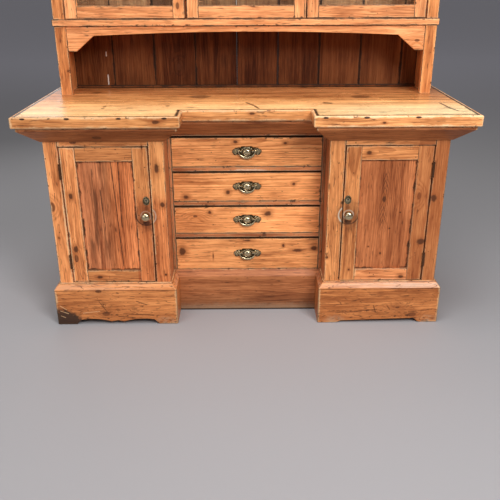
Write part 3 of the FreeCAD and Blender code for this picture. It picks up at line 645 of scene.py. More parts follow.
class Marks:
    """Paints the places of the dresser where something happened to the surface, and some painted highlight
    and shade.
    """

    def __init__(self, sketch, colour):
        self.sk, self.colour = sketch, colour

    def locate(self):
        """Where the marks stand, and the ragged edge that they share."""
        self.place = self.sk.place()
        self.x, self.y, self.z = self.sk.split(self.place)
        self.ragged = self.sk.sway(self.place, 55.0, 4.0, 0.65)

    def frayed(self, value, amount):
        """A value made uneven by the ragged edge."""
        return self.sk.add(value, self.sk.times(self.ragged, amount))

    def streaks(self, stretch, low, high, detail=3.0, roughness=0.6):
        """Streaks with their own waves per metre along each axis."""
        return self.sk.step(self.sk.drawn_out(self.place, stretch, detail, roughness), low, high)

    def spot(self, centre, reach, rough=0.5):
        """Ragged patch that fades out at reach from its centre."""
        sk = self.sk
        inward = sk.vector("DIVIDE", sk.vector("SUBTRACT", self.place, centre), reach)
        return sk.step(self.frayed(sk.vector("LENGTH", inward), rough), 1.0, 0.62)

    def ring(self, x, z, radius, width):
        """Circle scratched on the front."""
        sk = self.sk
        flat = sk.combine(sk.less(self.x, x), 0, sk.less(self.z, z))
        away = sk.apart(sk.vector("LENGTH", flat), radius)
        return sk.step(self.frayed(away, width * 1.3), width, width * 0.4)

    def stroke(self, start, end, width):
        """Crack or scratch from one point to another."""
        sk = self.sk
        start, run = Vector(start), Vector(end) - Vector(start)
        from_start = sk.vector("SUBTRACT", self.place, start)
        share = sk.times(sk.vector("DOT_PRODUCT", from_start, run), 1 / run.length_squared)
        share = sk.math("MINIMUM", sk.math("MAXIMUM", share, 0.0), 1.0)
        foot = sk.combine(*[sk.times(share, value) for value in run])
        away = sk.vector("LENGTH", sk.vector("SUBTRACT", from_start, foot))
        return sk.step(self.frayed(away, width * 1.6), width, width * 0.35)

    def paint(self, mask, strength, onto):
        self.colour = self.sk.mix(self.sk.times(mask, strength), self.colour, onto)

    def tone(self, mask, factors):
        """Makes a region darker or paler and keeps its grain."""
        self.colour = self.sk.mix(mask, self.colour, factors + (1,), "MULTIPLY")

    def front_strokes(self, rows, y, width, strength, onto):
        """Strokes on an upright face at y, each from x, z to x, z."""
        for x0, z0, x1, z1 in rows:
            self.paint(self.stroke((x0, y, z0), (x1, y, z1), width), strength, onto)

    def top_strokes(self, rows, width, strength, onto):
        """Strokes on the worktop, each from x, y to x, y."""
        for x0, y0, x1, y1 in rows:
            self.paint(self.stroke((x0, y0, TOP_Z), (x1, y1, TOP_Z), width), strength, onto)

    def knots(self, spots):
        """Knots at x, z, each with its half width and half height."""
        sk = self.sk
        for x, z, wide, high in spots:
            inward = sk.vector("SUBTRACT", self.place, (x, 0, z))
            inward = sk.vector("MULTIPLY", inward, (1 / wide, 0, 1 / high))
            away = self.frayed(sk.vector("LENGTH", inward), 1.1)
            halo, heart = sk.step(away, 2.7, 0.8), sk.step(away, 1.15, 0.55)
            self.paint(halo, 0.55, timber().late)
            self.paint(heart, 0.88, timber().knot)


# Knots: x, z, half width, half height
FRAME_KNOTS = ((-0.3355, 0.644, 0.010, 0.020), (-0.321, 0.502, 0.009, 0.011), (-0.664, 0.539, 0.008, 0.013),
               (-0.668, 0.322, 0.010, 0.014), (-0.584, 0.201, 0.013, 0.007), (-0.728, 0.370, 0.004, 0.005),
               (-0.385, 0.724, 0.003, 0.010), (-0.324, 0.209, 0.005, 0.005), (0.450, 0.699, 0.012, 0.008),
               (0.608, 0.195, 0.011, 0.007), (0.706, 0.522, 0.012, 0.016), (0.674, 0.346, 0.020, 0.014),
               (0.312, 0.280, 0.005, 0.006), (0.401, 0.227, 0.004, 0.005), (-0.722, 0.9455, 0.004, 0.005))
FRONT_KNOTS = ((-0.044, 0.714, 0.009, 0.007), (0.148, 0.708, 0.007, 0.005), (-0.242, 0.493, 0.012, 0.009),
               (-0.075, 0.512, 0.009, 0.009), (0.184, 0.545, 0.007, 0.007), (-0.150, 0.428, 0.008, 0.008),
               (0.0825, 0.4215, 0.014, 0.012), (-0.267, 0.258, 0.015, 0.018), (-0.141, 0.236, 0.0022, 0.012),
               (0.147, 0.282, 0.005, 0.008), (0.2055, 0.260, 0.022, 0.008), (0.273, 0.270, 0.014, 0.011),
               (0.000, 0.305, 0.018, 0.004))
LIPPING_KNOTS = ((-0.316, 0.832, 0.016, 0.007), (0.020, 0.838, 0.012, 0.005), (0.480, 0.826, 0.008, 0.004))
PANEL_KNOTS = ((0.521, 0.518, 0.008, 0.014), (0.586, 0.463, 0.004, 0.004), (0.550, 0.398, 0.004, 0.004),
               (0.473, 0.322, 0.004, 0.003), (0.5215, 0.293, 0.005, 0.006))
LEFT_PANEL_SEED, RIGHT_PANEL_SEED = 0.31, 0.2894
POINTED_FIGURE_X, POINTED_FIGURE_HALF = 0.521, 0.0125

# Upright faces, by y, and strokes on them from x, z to x, z
DOOR_FACE, PANEL_FACE, PLINTH_FACE, BACK_BOARD_FACE, RAIL_FACE = -0.261, -0.253, -0.284, 0.30, -0.15
RUBBED_EDGES = ((-0.6865, 0.19, -0.6865, 0.77), (-0.3600, 0.30, -0.3600, 0.60), (0.4270, 0.20, 0.4270, 0.44),
                (-0.6975, 0.26, -0.6975, 0.50))
PANEL_SHAKES = ((-0.505, 0.665, -0.489, 0.245), (-0.478, 0.665, -0.482, 0.410),
                (-0.553, 0.560, -0.549, 0.430))
OPEN_JOINT = ((-0.5995, 0.985, -0.5995, 1.000), (-0.5995, 0.865, -0.5995, 0.905))
FOOT_SPLITS = ((-0.752, 0.085, -0.728, 0.068), (-0.752, 0.062, -0.722, 0.050), (-0.752, 0.040, -0.735, 0.032),
               (-0.662, 0.052, -0.595, 0.060))
PLINTH_CUTS = ((-0.595, 0.105, -0.568, 0.060), (-0.578, 0.092, -0.580, 0.080), (-0.445, 0.104, -0.405, 0.088),
               (-0.500, 0.048, -0.380, 0.040), (-0.520, 0.036, -0.455, 0.030), (0.560, 0.075, 0.572, 0.060),
               (0.505, 0.078, 0.515, 0.048), (0.430, 0.052, 0.520, 0.060), (0.355, 0.045, 0.460, 0.052),
               (0.648, 0.048, 0.730, 0.056))
SCRUBBED_FEET = (-0.330, 0.352, 0.728)
CHAMFER_EDGES = (0.1515, 0.1755)

# The worktop: corners of the joint by x, y, stains with their half sizes, shakes from x, y to x, y
TOP_Z = 0.85
JOINT_CORNERS = ((0.813, 0.34), (0.813, -0.328), (0.246, -0.328), (0.246, -0.213))
TOP_STAINS = ((-0.188, 0.064, 0.050, 0.050), (0.457, 0.046, 0.052, 0.045), (-0.532, -0.140, 0.008, 0.016),
              (-0.532, -0.172, 0.009, 0.014), (-0.297, -0.134, 0.010, 0.016), (0.310, -0.088, 0.026, 0.020))
TOP_SHAKES = ((-0.001, -0.069, 0.031, -0.143), (0.031, -0.143, 0.044, -0.192), (0.738, -0.100, 0.746, -0.201),
              (0.746, -0.201, 0.761, -0.258), (0.298, -0.072, 0.322, -0.104))
NAIL_HOLES = (-0.779, -0.625, -0.446, -0.287, 0.275, 0.417, 0.598)
NAIL_HOLE_Y, NAIL_HOLE_Z, NAIL_HOLE_SIZE = -0.34, 0.8445, (0.0125, 0.009, 0.0046)

# Cupboard knobs: rings by radius and width, grime by place, half sizes, raggedness, strength and colour
KNOB_X, KNOB_Z, BELOW_KNOB, ON_FRAME = 0.3865, 0.457, (0.463, 0.445), (0.366, 0.365)
OUTER_RING, INNER_RING = (0.0375, 0.0034), (0.0190, 0.0030)
KNOB_GRIME = ((0, 0.431, 0.016, 0.014, 0.5, 0.8, "grime"), (0, 0.457, 0.055, 0.075, 0.9, 0.38, "knot"),
              (0.004, 0.488, 0.010, 0.012, 0.5, 0.5, "knot"))

# Regions by where they start and are full, or where they start, are full, fall and end
LEFT_STILE, RIGHT_STILE, BELOW_DOOR_TOP = (-0.630, -0.634), (0.630, 0.634), (0.80, 0.78)
LOCK_STILE, BELOW_LOCK = (-0.4335, -0.4315, -0.30, -0.29), (0.58, 0.48)
BOTTOM_RAIL, BELOW_PANEL = (0.425, 0.430, 0.632, 0.636), (0.240, 0.236)
LEFT_PANEL_EDGE, LEFT_PANEL_MIDDLE = (-0.50, -0.56), (-0.53, -0.49, -0.32, -0.30)
RIGHT_PANEL, POINTED_FIGURE, ABOVE_PANEL_FOOT = (0.30, 0.32), (0.37, 0.43, 0.60, 0.66), (0.24, 0.36)
GLAZED_PART, TOP_FRONT, TOP_BACK, TOP_RIGHT = (1.10, 1.16), (-0.02, -0.26), (-0.06, 0.20), (0.15, 0.50)
RIGHT_LIPPING, RIGHT_PLINTH, CHAMFER = (0.236, 0.240), (0.30, 0.60), (0.153, 0.158, 0.168, 0.176)
MOP_LINE, SWEPT_FOOT, DARK_FOOT, FOOT_CONTACT_SHADOW = (0.115, 0), (0.042, 0.006), (0.10, 0.03), (0.0085, 0.0045)

# Tones of those regions, as factors of red, green and blue
PALE_STILE, HANDLED_STILE, PALE_RAIL = (1.36, 1.36, 1.42), (0.84, 0.66, 0.62), (1.17, 1.14, 1.27)
WARM_PANEL, GREY_PANEL, BROWN_PANEL = (1.58, 1.56, 1.58), (1.12, 1.16, 1.34), (0.92, 0.89, 0.89)
PALE_TOP, RIGHT_END_GLARE, BROWN_TOP = (1.28, 1.46, 1.75), (1.03, 1.26, 1.50), (0.70, 0.57, 0.52)
PALE_LIPPING, PALE_BACK, DRAWER_TONES = (1.32, 1.40, 1.52), (1.9, 3.2, 5.0), (1.0, 1.06, 1.17, 1.0)

# Colours that only one place shows
BARE_RING = (0.92, 0.76, 0.58, 1)
BROWN_STILE = (0.30, 0.066, 0.018, 1)
RUBBED_RAIL, SCRUBBED_RAIL = (0.95, 0.66, 0.45, 1), (0.95, 0.72, 0.52, 1)
BEHIND_GLASS, DAYLIGHT = (0.20, 0.115, 0.062, 1), (0.85, 0.78, 0.70, 1)
TOP_SHEEN, CHAMFER_HIGHLIGHT = (1.0, 0.70, 0.33, 1), (0.96, 0.66, 0.46, 1)
CHARRED, SCRUBBED_FOOT, BROOM_DUST = (0.035, 0.022, 0.016, 1), (0.56, 0.36, 0.22, 1), (0.36, 0.25, 0.16, 1)


def frame_marks(m):
    """Circles worn round the cupboard knobs with grime below them, tones of stiles and rails, and knots."""
    sk, old = m.sk, timber()
    for side in (-1, 1):
        x = side * KNOB_X
        ring = m.ring(x, KNOB_Z, *OUTER_RING)
        on_frame = sk.step(sk.times(m.x, side), *ON_FRAME)
        on_door = sk.less(1.0, on_frame)
        below = sk.step(m.z, *BELOW_KNOB)
        m.paint(sk.times(ring, on_frame), 0.95, BARE_RING)
        m.paint(sk.times(ring, on_door, below), 0.75, old.grime)
        m.paint(m.ring(x, KNOB_Z, *INNER_RING), 0.65, BARE_RING)
        for inward, z, wide, high, rough, strength, colour in KNOB_GRIME:
            spot = m.spot((x - side * inward, DOOR_FACE, z), (wide, 0.05, high), rough)
            m.paint(spot, strength, getattr(old, colour))
    below_top = sk.step(m.z, *BELOW_DOOR_TOP)
    m.tone(sk.times(sk.step(m.x, *LEFT_STILE), below_top), PALE_STILE)
    m.tone(sk.times(sk.band(m.x, *LOCK_STILE), sk.step(m.z, *BELOW_LOCK)), HANDLED_STILE)
    m.tone(sk.times(sk.band(m.x, *BOTTOM_RAIL), sk.step(m.z, *BELOW_PANEL)), PALE_RAIL)
    m.front_strokes(RUBBED_EDGES, DOOR_FACE, 0.0034, 0.60, old.worn)
    m.paint(sk.times(sk.step(m.x, *RIGHT_STILE), below_top), 0.48, BROWN_STILE)
    m.knots(FRAME_KNOTS)


def front_marks(m):
    """Tones and knots of the drawer fronts, and painted shade of the gap along their upper edges."""
    sk = m.sk
    for drawer, tone in zip(DRAWERS, DRAWER_TONES):
        bottom, top = (corner.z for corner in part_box(drawer))
        m.tone(sk.band(m.z, bottom - 0.002, bottom, top, top + 0.002), (tone,) * 3)
        # Painted shade: a dark line along the top edge of each drawer front stands in for the shadow in the
        # gap above it
        m.paint(sk.step(sk.apart(m.z, top), 0.0016, 0.0006), 0.85, timber().grime)
    m.knots(FRONT_KNOTS)


def rail_marks(m):
    """Pale rubbed lower edges of the drawer rails, and a scrubbed patch on the uppermost."""
    sk = m.sk
    half_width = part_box(DRAWERS[0])[1].x
    between = sk.step(sk.math("ABSOLUTE", m.x), half_width, half_width - 0.004)
    streaks = m.streaks((13, 1, 45), 0.40, 0.60)
    for drawer in DRAWERS[1:]:
        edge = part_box(drawer)[1].z + 0.0050
        near = sk.step(sk.apart(m.z, edge), 0.0050, 0.0015)
        m.paint(sk.times(near, streaks, between), 0.55, RUBBED_RAIL)
        if drawer == DRAWERS[1]:
            scrubbed = m.spot((0.01, RAIL_FACE, edge + 0.003), (0.085, 0.3, 0.008), 1.2)
            m.paint(sk.times(scrubbed, between), 0.45, SCRUBBED_RAIL)


def panel_marks(m):
    """Tones of the panels, shakes down the left-hand one, figure and knots in the right-hand one."""
    sk, old = m.sk, timber()
    left_edge = sk.step(m.x, *LEFT_PANEL_EDGE)
    m.tone(sk.band(m.x, *LEFT_PANEL_MIDDLE), WARM_PANEL)
    m.tone(left_edge, GREY_PANEL)
    m.tone(sk.step(m.x, *RIGHT_PANEL), BROWN_PANEL)
    m.front_strokes(PANEL_SHAKES, PANEL_FACE, 0.0026, 0.85, old.grime)
    dark = m.streaks((75, 1, 5), 0.50, 0.68)
    m.paint(sk.times(left_edge, sk.step(m.z, *ABOVE_PANEL_FOOT), dark), 0.7, old.knot)
    # Narrow pointed figure down the middle of the right-hand panel
    off = m.frayed(sk.times(sk.less(m.x, POINTED_FIGURE_X), 1 / POINTED_FIGURE_HALF), 0.9)
    aside = sk.math("ABSOLUTE", off)
    peak = m.frayed(sk.add(sk.times(m.z, 38), sk.times(aside, 1.5)), 0.5)
    point = sk.step(sk.math("PINGPONG", peak, 0.5), 0.26, 0.44)
    m.paint(sk.times(point, sk.step(aside, 1.3, 0.6), sk.band(m.z, *POINTED_FIGURE)), 0.75, old.knot)
    m.knots(PANEL_KNOTS)


def back_marks(m):
    """Paler boards behind the glass, and daylight through an open joint of the rack."""
    glazed = m.sk.step(m.z, *GLAZED_PART)
    m.tone(glazed, PALE_BACK)
    m.paint(glazed, 0.30, BEHIND_GLASS)
    m.front_strokes(OPEN_JOINT, BACK_BOARD_FACE, 0.0028, 0.8, DAYLIGHT)


def lipping_joint(m, width):
    """Dirt along the joint between the planks and their lipping."""
    path = [(-x, y) for x, y in JOINT_CORNERS] + list(reversed(JOINT_CORNERS))
    m.top_strokes([a + b for a, b in zip(path, path[1:])], width, 0.90, timber().grime)


def top_marks(m):
    """Painted sheen on the front of the worktop, with painted glare at the right-hand end, brown towards the
    back, with stains and shakes.
    """
    sk, old = m.sk, timber()
    depth = m.frayed(m.y, 0.05)
    front = sk.step(depth, *TOP_FRONT)
    # Painted highlight: the paler front of the worktop stands in for its sheen, and the paler right-hand end
    # for glare
    m.tone(front, PALE_TOP)
    m.paint(front, 0.42, TOP_SHEEN)
    m.tone(sk.times(front, sk.step(m.x, *TOP_RIGHT)), RIGHT_END_GLARE)
    m.tone(sk.step(depth, *TOP_BACK), BROWN_TOP)
    for x, y, wide, deep in TOP_STAINS:
        m.paint(m.spot((x, y, TOP_Z), (wide, deep, 0.05), 0.9), 0.62, old.knot)
    m.top_strokes(TOP_SHAKES, 0.0065, 0.85, old.knot)
    lipping_joint(m, 0.0105)


def lipping_marks(m):
    """Bruised nail holes along the front edges of the worktop, and the paler right-hand length."""
    m.tone(m.sk.step(m.x, *RIGHT_LIPPING), PALE_LIPPING)
    for x in NAIL_HOLES:
        m.paint(m.spot((x, NAIL_HOLE_Y, NAIL_HOLE_Z), NAIL_HOLE_SIZE, 0.7), 0.96, timber().grime)
    lipping_joint(m, 0.0045)
    m.knots(LIPPING_KNOTS)


def plinth_marks(m):
    """Painted highlight along the chamfer, mop line, scuffs and the charred foot at the left-hand corner."""
    sk, old = m.sk, timber()
    # Painted highlight: a pale streaky band along the chamfer, stronger on the right-hand plinth, stands in
    # for the lamp's sheen on it
    streaks = m.streaks((3, 30, 70), 0.34, 0.60)
    rubbed = sk.add(sk.times(sk.step(m.x, *RIGHT_PLINTH), 0.34), 0.22)
    m.paint(sk.times(sk.band(m.z, *CHAMFER), streaks, rubbed), 1.0, CHAMFER_HIGHLIGHT)
    for z in CHAMFER_EDGES:
        line = sk.apart(m.frayed(m.z, 0.004), z)
        m.paint(sk.step(line, 0.0021, 0.0009), 0.62, old.knot)
    low = sk.step(m.frayed(m.z, 0.09), *MOP_LINE)
    scuff = m.streaks((32, 32, 84), 0.565, 0.645, 4.0, 0.7)
    m.paint(low, 0.35, old.late)
    m.paint(sk.times(scuff, sk.add(sk.times(low, 0.8), 0.28)), 0.90, old.grime)
    m.paint(m.spot((-0.748, PLINTH_FACE, 0.014), (0.105, 0.3, 0.062), 1.0), 0.93, CHARRED)
    for x in SCRUBBED_FEET:
        scrubbed = m.spot((x, PLINTH_FACE, 0.004), (0.055, 0.3, 0.040), 1.3)
        m.paint(sk.times(scrubbed, sk.step(m.ragged, -0.14, 0.16)), 0.50, SCRUBBED_FOOT)
    m.front_strokes(FOOT_SPLITS, PLINTH_FACE, 0.0020, 0.6, old.worn)
    m.front_strokes(PLINTH_CUTS, PLINTH_FACE, 0.0026, 0.7, old.knot)


def centre_plinth_marks(m):
    """Dust that the broom leaves at the foot of the recessed plinth, darker towards the bottom, and painted
    contact shadow along its lower edge.
    """
    sk, old = m.sk, timber()
    m.paint(sk.step(m.z, *DARK_FOOT), 0.35, old.grime)
    m.paint(sk.step(m.frayed(m.z, 0.03), *SWEPT_FOOT), 0.55, BROOM_DUST)
    # Painted shade: the dark band at the very foot stands in for the contact shadow where the plinth meets
    # the floor
    m.paint(sk.step(m.z, *FOOT_CONTACT_SHADOW), 0.92, old.grime)


def new_material(name):
    material = bpy.data.materials.new(name)
    material.use_nodes = True
    material.node_tree.nodes.clear()
    sketch = Sketch(material.node_tree)
    shader = sketch.node("ShaderNodeBsdfPrincipled")
    end = sketch.node("ShaderNodeOutputMaterial")
    sketch.feed(end.inputs["Surface"], shader.outputs[0])
    return material, sketch, shader, end


def raise_bump(sk, shader, height, strength, distance):
    bump = sk.feed_all(sk.node("ShaderNodeBump"), Strength=strength, Distance=distance, Height=height)
    sk.feed(shader.inputs["Normal"], bump.outputs[0])


def pine(name, early, late, wear, grime=0.5, reach=0.006, knots=0.38, specks=0.07, streak=1.0, tone=0.22,
         shine=0.40, figure=0.28, dirt=0.0032, scratches=0.2, stretch=(2.0, 2.0, 0.5), chips=0.8,
         gloss=0.26, marks=None):
    """Waxed or bare pine; marks adds what only one place shows."""
    old = timber()
    material, sk, shader, _ = new_material(name)
    wood = sk.group("pine_figure", Early=early, Late=late, Knot=old.knot, Ring=old.ring, Knot_Share=knots,
                    Streak=streak, Board_Tone=tone, Figure=figure)
    edge = sk.group("arris_wear", Reach=reach, Dirt=dirt)
    scratch = sk.group("old_scratches", Share=scratches, Stretch=stretch)["Mask"]
    fleck = sk.group("old_specks", Share=specks)["Mask"]
    m = Marks(sk, wood["Color"])
    m.paint(edge["Worn"], wear, old.worn)
    if marks:
        m.locate()
        marks(m)
    m.paint(edge["Grime"], grime, old.grime)
    m.paint(fleck, 0.75, old.grime)
    m.paint(edge["Chips"], chips, old.grime)
    m.paint(scratch, 0.6, old.knot)
    dull = sk.add(shine, sk.times(sk.sway(sk.place(), 14.0, 4.0), 0.26), sk.times(fleck, 0.3))
    sk.feed_all(shader, Base_Color=m.colour, Roughness=dull, Specular_IOR_Level=gloss)
    height = sk.add(wood["Height"], sk.times(fleck, -2.2), sk.times(edge["Worn"], -0.5),
                    sk.times(scratch, -1.2))
    raise_bump(sk, shader, height, 0.32, 0.0006)
    return material


def old_metal(name, bright, dull, metallic):
    """Rubbed and tarnished metal."""
    material, sk, shader, _ = new_material(name)
    group = sk.group("old_metal", Bright=bright, Dull=dull)
    sk.feed_all(shader, Base_Color=group["Color"], Roughness=group["Rough"], Metallic=metallic)
    raise_bump(sk, shader, group["Height"], 0.25, 0.0004)
    return material


def old_glass():
    """Drawn sheet glass with a slow ripple, which lets the lamps through to the shelves."""
    material, sk, shader, end = new_material("old_glass")
    tint = (0.93, 0.96, 0.94, 1)
    smear = sk.step(sk.noise(sk.place(), 7.0, 4.0), 0.55, 0.85)
    sk.feed_all(shader, Base_Color=tint, Transmission_Weight=1.0, IOR=1.45, Roughness=sk.times(smear, 0.06))
    raise_bump(sk, shader, sk.drawn_out(sk.place(), (9, 9, 2.2), 2.0), 0.25, 0.004)
    clear = sk.feed_all(sk.node("ShaderNodeBsdfTransparent"), Color=tint)
    sk.blend(sk.node("ShaderNodeLightPath").outputs["Is Shadow Ray"], shader, clear, end)
    return material


def make_finishes():
    """All the materials of the dresser by name."""
    old, fittings = timber(), metal()
    for make in (make_pine_figure, make_arris_wear, make_old_specks, make_old_scratches, make_old_metal):
        make()
    # Scratches run level on the worktop and low down
    level, level_low = (0.4, 2.0, 2.0), (0.45, 2.0, 2.4)
    pale_late = (0.50, 0.150, 0.038, 1)
    return {
        "waxed": pine("waxed_pine", old.early, old.late, wear=0.6, grime=0.9, specks=0.15, scratches=0.4,
                      dirt=0.0020, marks=frame_marks),
        "front": pine("drawer_front_pine", (0.93, 0.372, 0.128, 1), pale_late, wear=0.5, grime=0.7,
                      knots=0.10, specks=0.10, figure=0.42, streak=0.8, tone=0.06, stretch=(0.45, 2.0, 2.2),
                      marks=front_marks),
        "pale": pine("pale_waxed_pine", (0.84, 0.350, 0.140, 1), pale_late, wear=0.6, grime=0.9, knots=0.2,
                     specks=0.1),
        # Painted shade: the wide dark band round the edges of each panel is dirt and the shade of its recess
        # in the door frame
        "panel": pine("panel_pine", (0.58, 0.186, 0.062, 1), (0.22, 0.060, 0.019, 1), wear=0.0, grime=0.97,
                      knots=0.0, streak=1.5, specks=0.10, dirt=0.0150, figure=0.20, scratches=0.3,
                      marks=panel_marks),
        "red": pine("rail_pine", (0.56, 0.190, 0.070, 1), (0.32, 0.090, 0.030, 1), wear=0.75, grime=0.7,
                    reach=0.005, knots=0.1, specks=0.12, marks=rail_marks),
        "top": pine("worktop_pine", (0.84, 0.385, 0.135, 1), (0.46, 0.145, 0.040, 1), wear=0.2, grime=0.35,
                    reach=0.004, shine=0.30, specks=0.08, streak=1.5, knots=0.45, dirt=0.006, chips=0.3,
                    stretch=level, gloss=0.13, marks=top_marks),
        "lipping": pine("lipping_pine", (0.76, 0.315, 0.105, 1), old.late, wear=0.85, grime=0.3, reach=0.009,
                        specks=0.16, shine=0.34, knots=0.0, scratches=0.5, stretch=level,
                        marks=lipping_marks),
        # Painted shade: the moulding's colours are darkened for the shade on its downward-facing splay
        "moulding": pine("moulding_pine", (0.43, 0.142, 0.046, 1), (0.22, 0.060, 0.018, 1), wear=0.8,
                         knots=0.15),
        "plinth": pine("plinth_pine", (0.64, 0.222, 0.066, 1), (0.27, 0.072, 0.020, 1), wear=0.85, grime=0.4,
                       reach=0.009, specks=0.26, streak=1.4, scratches=0.9, stretch=level_low, chips=0.9,
                       marks=plinth_marks),
        "centre": pine("centre_plinth_pine", (0.47, 0.160, 0.056, 1), (0.19, 0.052, 0.016, 1), wear=0.5,
                       specks=0.14, scratches=0.5, stretch=level_low, marks=centre_plinth_marks),
        "dark": pine("dark_board_pine", old.dark_early, old.dark_late, wear=0.10, grime=0.92, reach=0.005,
                     dirt=0.0055, knots=0.3, streak=1.9, shine=0.55, tone=0.5, gloss=0.12, marks=back_marks),
        "raw": pine("bare_pine", old.raw_early, old.raw_late, wear=0.2, grime=0.4, shine=0.68, knots=0.3),
        "brass": old_metal("old_brass", fittings.brass, fittings.patina, 1.0),
        "iron": old_metal("old_iron", fittings.rust, fittings.iron, 0.55),
        "glass": old_glass(),
    }


finishes = {}


def finish_of(name):
    """One material of the dresser; the first call makes them all."""
    if not finishes:
        finishes.update(make_finishes())
    return finishes[name]


# Operators

class PieceOperator:
    """What the operators that make pieces share."""
    bl_options = {"REGISTER", "UNDO"}


class DRESSER_OT_plinths(PieceOperator, bpy.types.Operator):
    """Two shaped plinths and the recessed one between them"""
    bl_idname = "dresser.plinths"
    bl_label = "Plinths"

    def execute(self, context):
        for side in SIDES:
            dress(side + "_plinth", "plinth", arris=PLINTH_ARRIS)
        dress("centre_plinth", "centre")
        return {"FINISHED"}


class DRESSER_OT_base_carcass(PieceOperator, bpy.types.Operator):
    """Sides, floors, shelves and back boards of the cupboards"""
    bl_idname = "dresser.base_carcass"
    bl_label = "Base Carcass"

    def execute(self, context):
        dress("outer_sides", "waxed")
        dress("inner_sides", "red")
        for node in ("cupboard_floors", "cupboard_shelves", "shelf_battens", "base_back_boards",
                     "drawer_runners"):
            dress(node, "raw")
        return {"FINISHED"}


class DRESSER_OT_face_frames(PieceOperator, bpy.types.Operator):
    """Stiles and rails on the front of the base"""
    bl_idname = "dresser.face_frames"
    bl_label = "Face Frames"

    def execute(self, context):
        for side in SIDES:
            dress(side + "_face_frame", "waxed", arris=FRAME_ARRIS)
        dress("drawer_rails", "red", arris=RAIL_ARRIS)
        return {"FINISHED"}


class DRESSER_OT_cupboard_doors(PieceOperator, bpy.types.Operator):
    """Framed doors with their panels"""
    bl_idname = "dresser.cupboard_doors"
    bl_label = "Cupboard Doors"

    def execute(self, context):
        for side in SIDES:
            dress(side + "_door_frame", "waxed", arris=FRAME_ARRIS)
        dress("left_door_panel", "panel", seeds=(LEFT_PANEL_SEED,))
        dress("right_door_panel", "panel", seeds=(RIGHT_PANEL_SEED,))
        return {"FINISHED"}


# Turned shapes as (radius, reach) points: shares of a fitting's own size, or lengths where marked in metres
ESCUTCHEON_EDGE = ((1, 0), (1, 0.0009), (0.94, 0.0016), (0.86, 0.0017), (0.80, 0.0012), (0.55, 0.0016),
                   (0.30, 0.0019), (0.05, 0.0020))  # reach in metres
KEYHOLE_EYE = ((0.0031, 0), (0.0031, 0.0008), (0.0012, 0.0009))  # metres
KEYHOLE_SLOT = (0.0026, 0.0012, 0.010)
KNOB_ROSE = ((0.80, 0.0), (0.80, 0.0016), (0.70, 0.0030), (0.46, 0.0040))  # reach in metres
KNOB_HEAD = ((0.42, 0.36), (0.52, 0.46), (0.86, 0.54), (0.985, 0.60), (1, 0.645), (0.97, 0.72), (0.87, 0.81),
             (0.70, 0.89), (0.48, 0.95), (0.24, 0.988), (0.04, 1))
SMALL_KNOB = ((0.74, 0), (0.74, 0.06), (0.64, 0.13), (0.44, 0.18), (0.40, 0.42), (0.52, 0.50), (0.90, 0.58),
              (1, 0.66), (0.94, 0.77), (0.76, 0.89), (0.46, 0.97), (0.05, 1))
LOBE = ((1, 0), (1, 0.6), (0.94, 0.95), (0.84, 1), (0.74, 0.72), (0.52, 0.66), (0.36, 0.95), (0.18, 1.1),
        (0.02, 1.12))
SCROLL = ((1, 0.0018), (1, 0.0034), (0.86, 0.0044), (0.66, 0.0042), (0.56, 0.0030), (0.40, 0.0031),
          (0.28, 0.0046), (0.04, 0.0050))  # reach in metres
BOSS = ((0.0170, 0.0), (0.0170, 0.0026), (0.0158, 0.0036), (0.0150, 0.0034), (0.0146, 0.0030),
        (0.0134, 0.0042), (0.0108, 0.0058), (0.0076, 0.0067), (0.0040, 0.0071), (0.0006, 0.0072))  # metres
PILLAR = ((0.0046, 0.002), (0.0046, 0.0040), (0.0036, 0.0052), (0.0036, 0.0062), (0.0043, 0.0072),
          (0.0043, 0.0094), (0.0034, 0.0108), (0.0016, 0.0112), (0.0002, 0.0113))  # metres
BEAD = ((0.0034, 0.0018), (0.0034, 0.0030), (0.0026, 0.0044), (0.0012, 0.0050), (0.0001, 0.0051))  # metres
KNUCKLE = ((0.0016, 0), (0.0028, 0.0006), (0.0034, 0.0018), (0.0034, 0.0034), (0.0028, 0.0046),
           (0.0016, 0.0052), (0.0002, 0.0053))  # metres

# Lobes and scrolls of a handle plate, across and up from its middle, as shares of its width
LOBES = ((0.00, 0.010, 0.190, 0.0021), (0.13, 0.100, 0.105, 0.0024), (0.15, -0.080, 0.110, 0.0022),
         (0.27, 0.040, 0.130, 0.0026), (0.36, 0.085, 0.070, 0.0030), (0.42, 0.030, 0.080, 0.0028),
         (0.40, -0.040, 0.055, 0.0026), (0.06, 0.150, 0.055, 0.0028))
SCROLLS = ((0.300, 0.075, 0.060), (0.345, 0.020, 0.050), (0.395, 0.075, 0.052), (0.445, 0.030, 0.048),
           (0.395, -0.020, 0.042), (0.360, -0.060, 0.034))
BEADS = (-0.15, -0.09, -0.03, 0.03, 0.09, 0.15)

# Depths over which the metal goes from dull to rubbed
HINGE_RELIEF, BOLT_RELIEF, PLATE_RELIEF = 0.012, 0.02, 0.0047
ESCUTCHEON_RELIEF, KEYHOLE_RELIEF = 0.0024, 10.0
BAIL_RUB, SMALL_KNOB_RUB = 0.8, 0.2

ESCUTCHEON_DEPTH, EYE_REACH, EYE_UP, SLOT_REACH, SLOT_DOWN = 0.004, 0.0015, 0.002, 0.0018, 0.004
LATCH_REACH, ROSE_REACH = 0.0002, 0.0005  # out of the face of the door
PILLAR_ACROSS, PILLAR_UP, BOSS_TALL, BEAD_TOP, BEAD_ARCH = 0.20, 0.05, 0.82, 0.155, 2.2
BAIL_BENDS, BAIL_THIN, BAIL_SWELL, BAIL_FLATNESS = 28, 0.0022, 0.0023, 0.62
BAIL_MARGIN, BAIL_BELLY = 0.0025, 0.0046
PIN_RADIUS, PIN_LENGTH, PIN_INSET, KNUCKLE_BACK = 0.0017, 0.011, 0.0050, 0.0026
DRAWER_FRONT_THICKEST, DRAWER_FRONT_Y = 0.03, -0.13


def brass_over(piece, node):
    piece.data.materials.clear()
    piece.data.materials.append(finish_of("brass"))
    hand_over(piece, node)


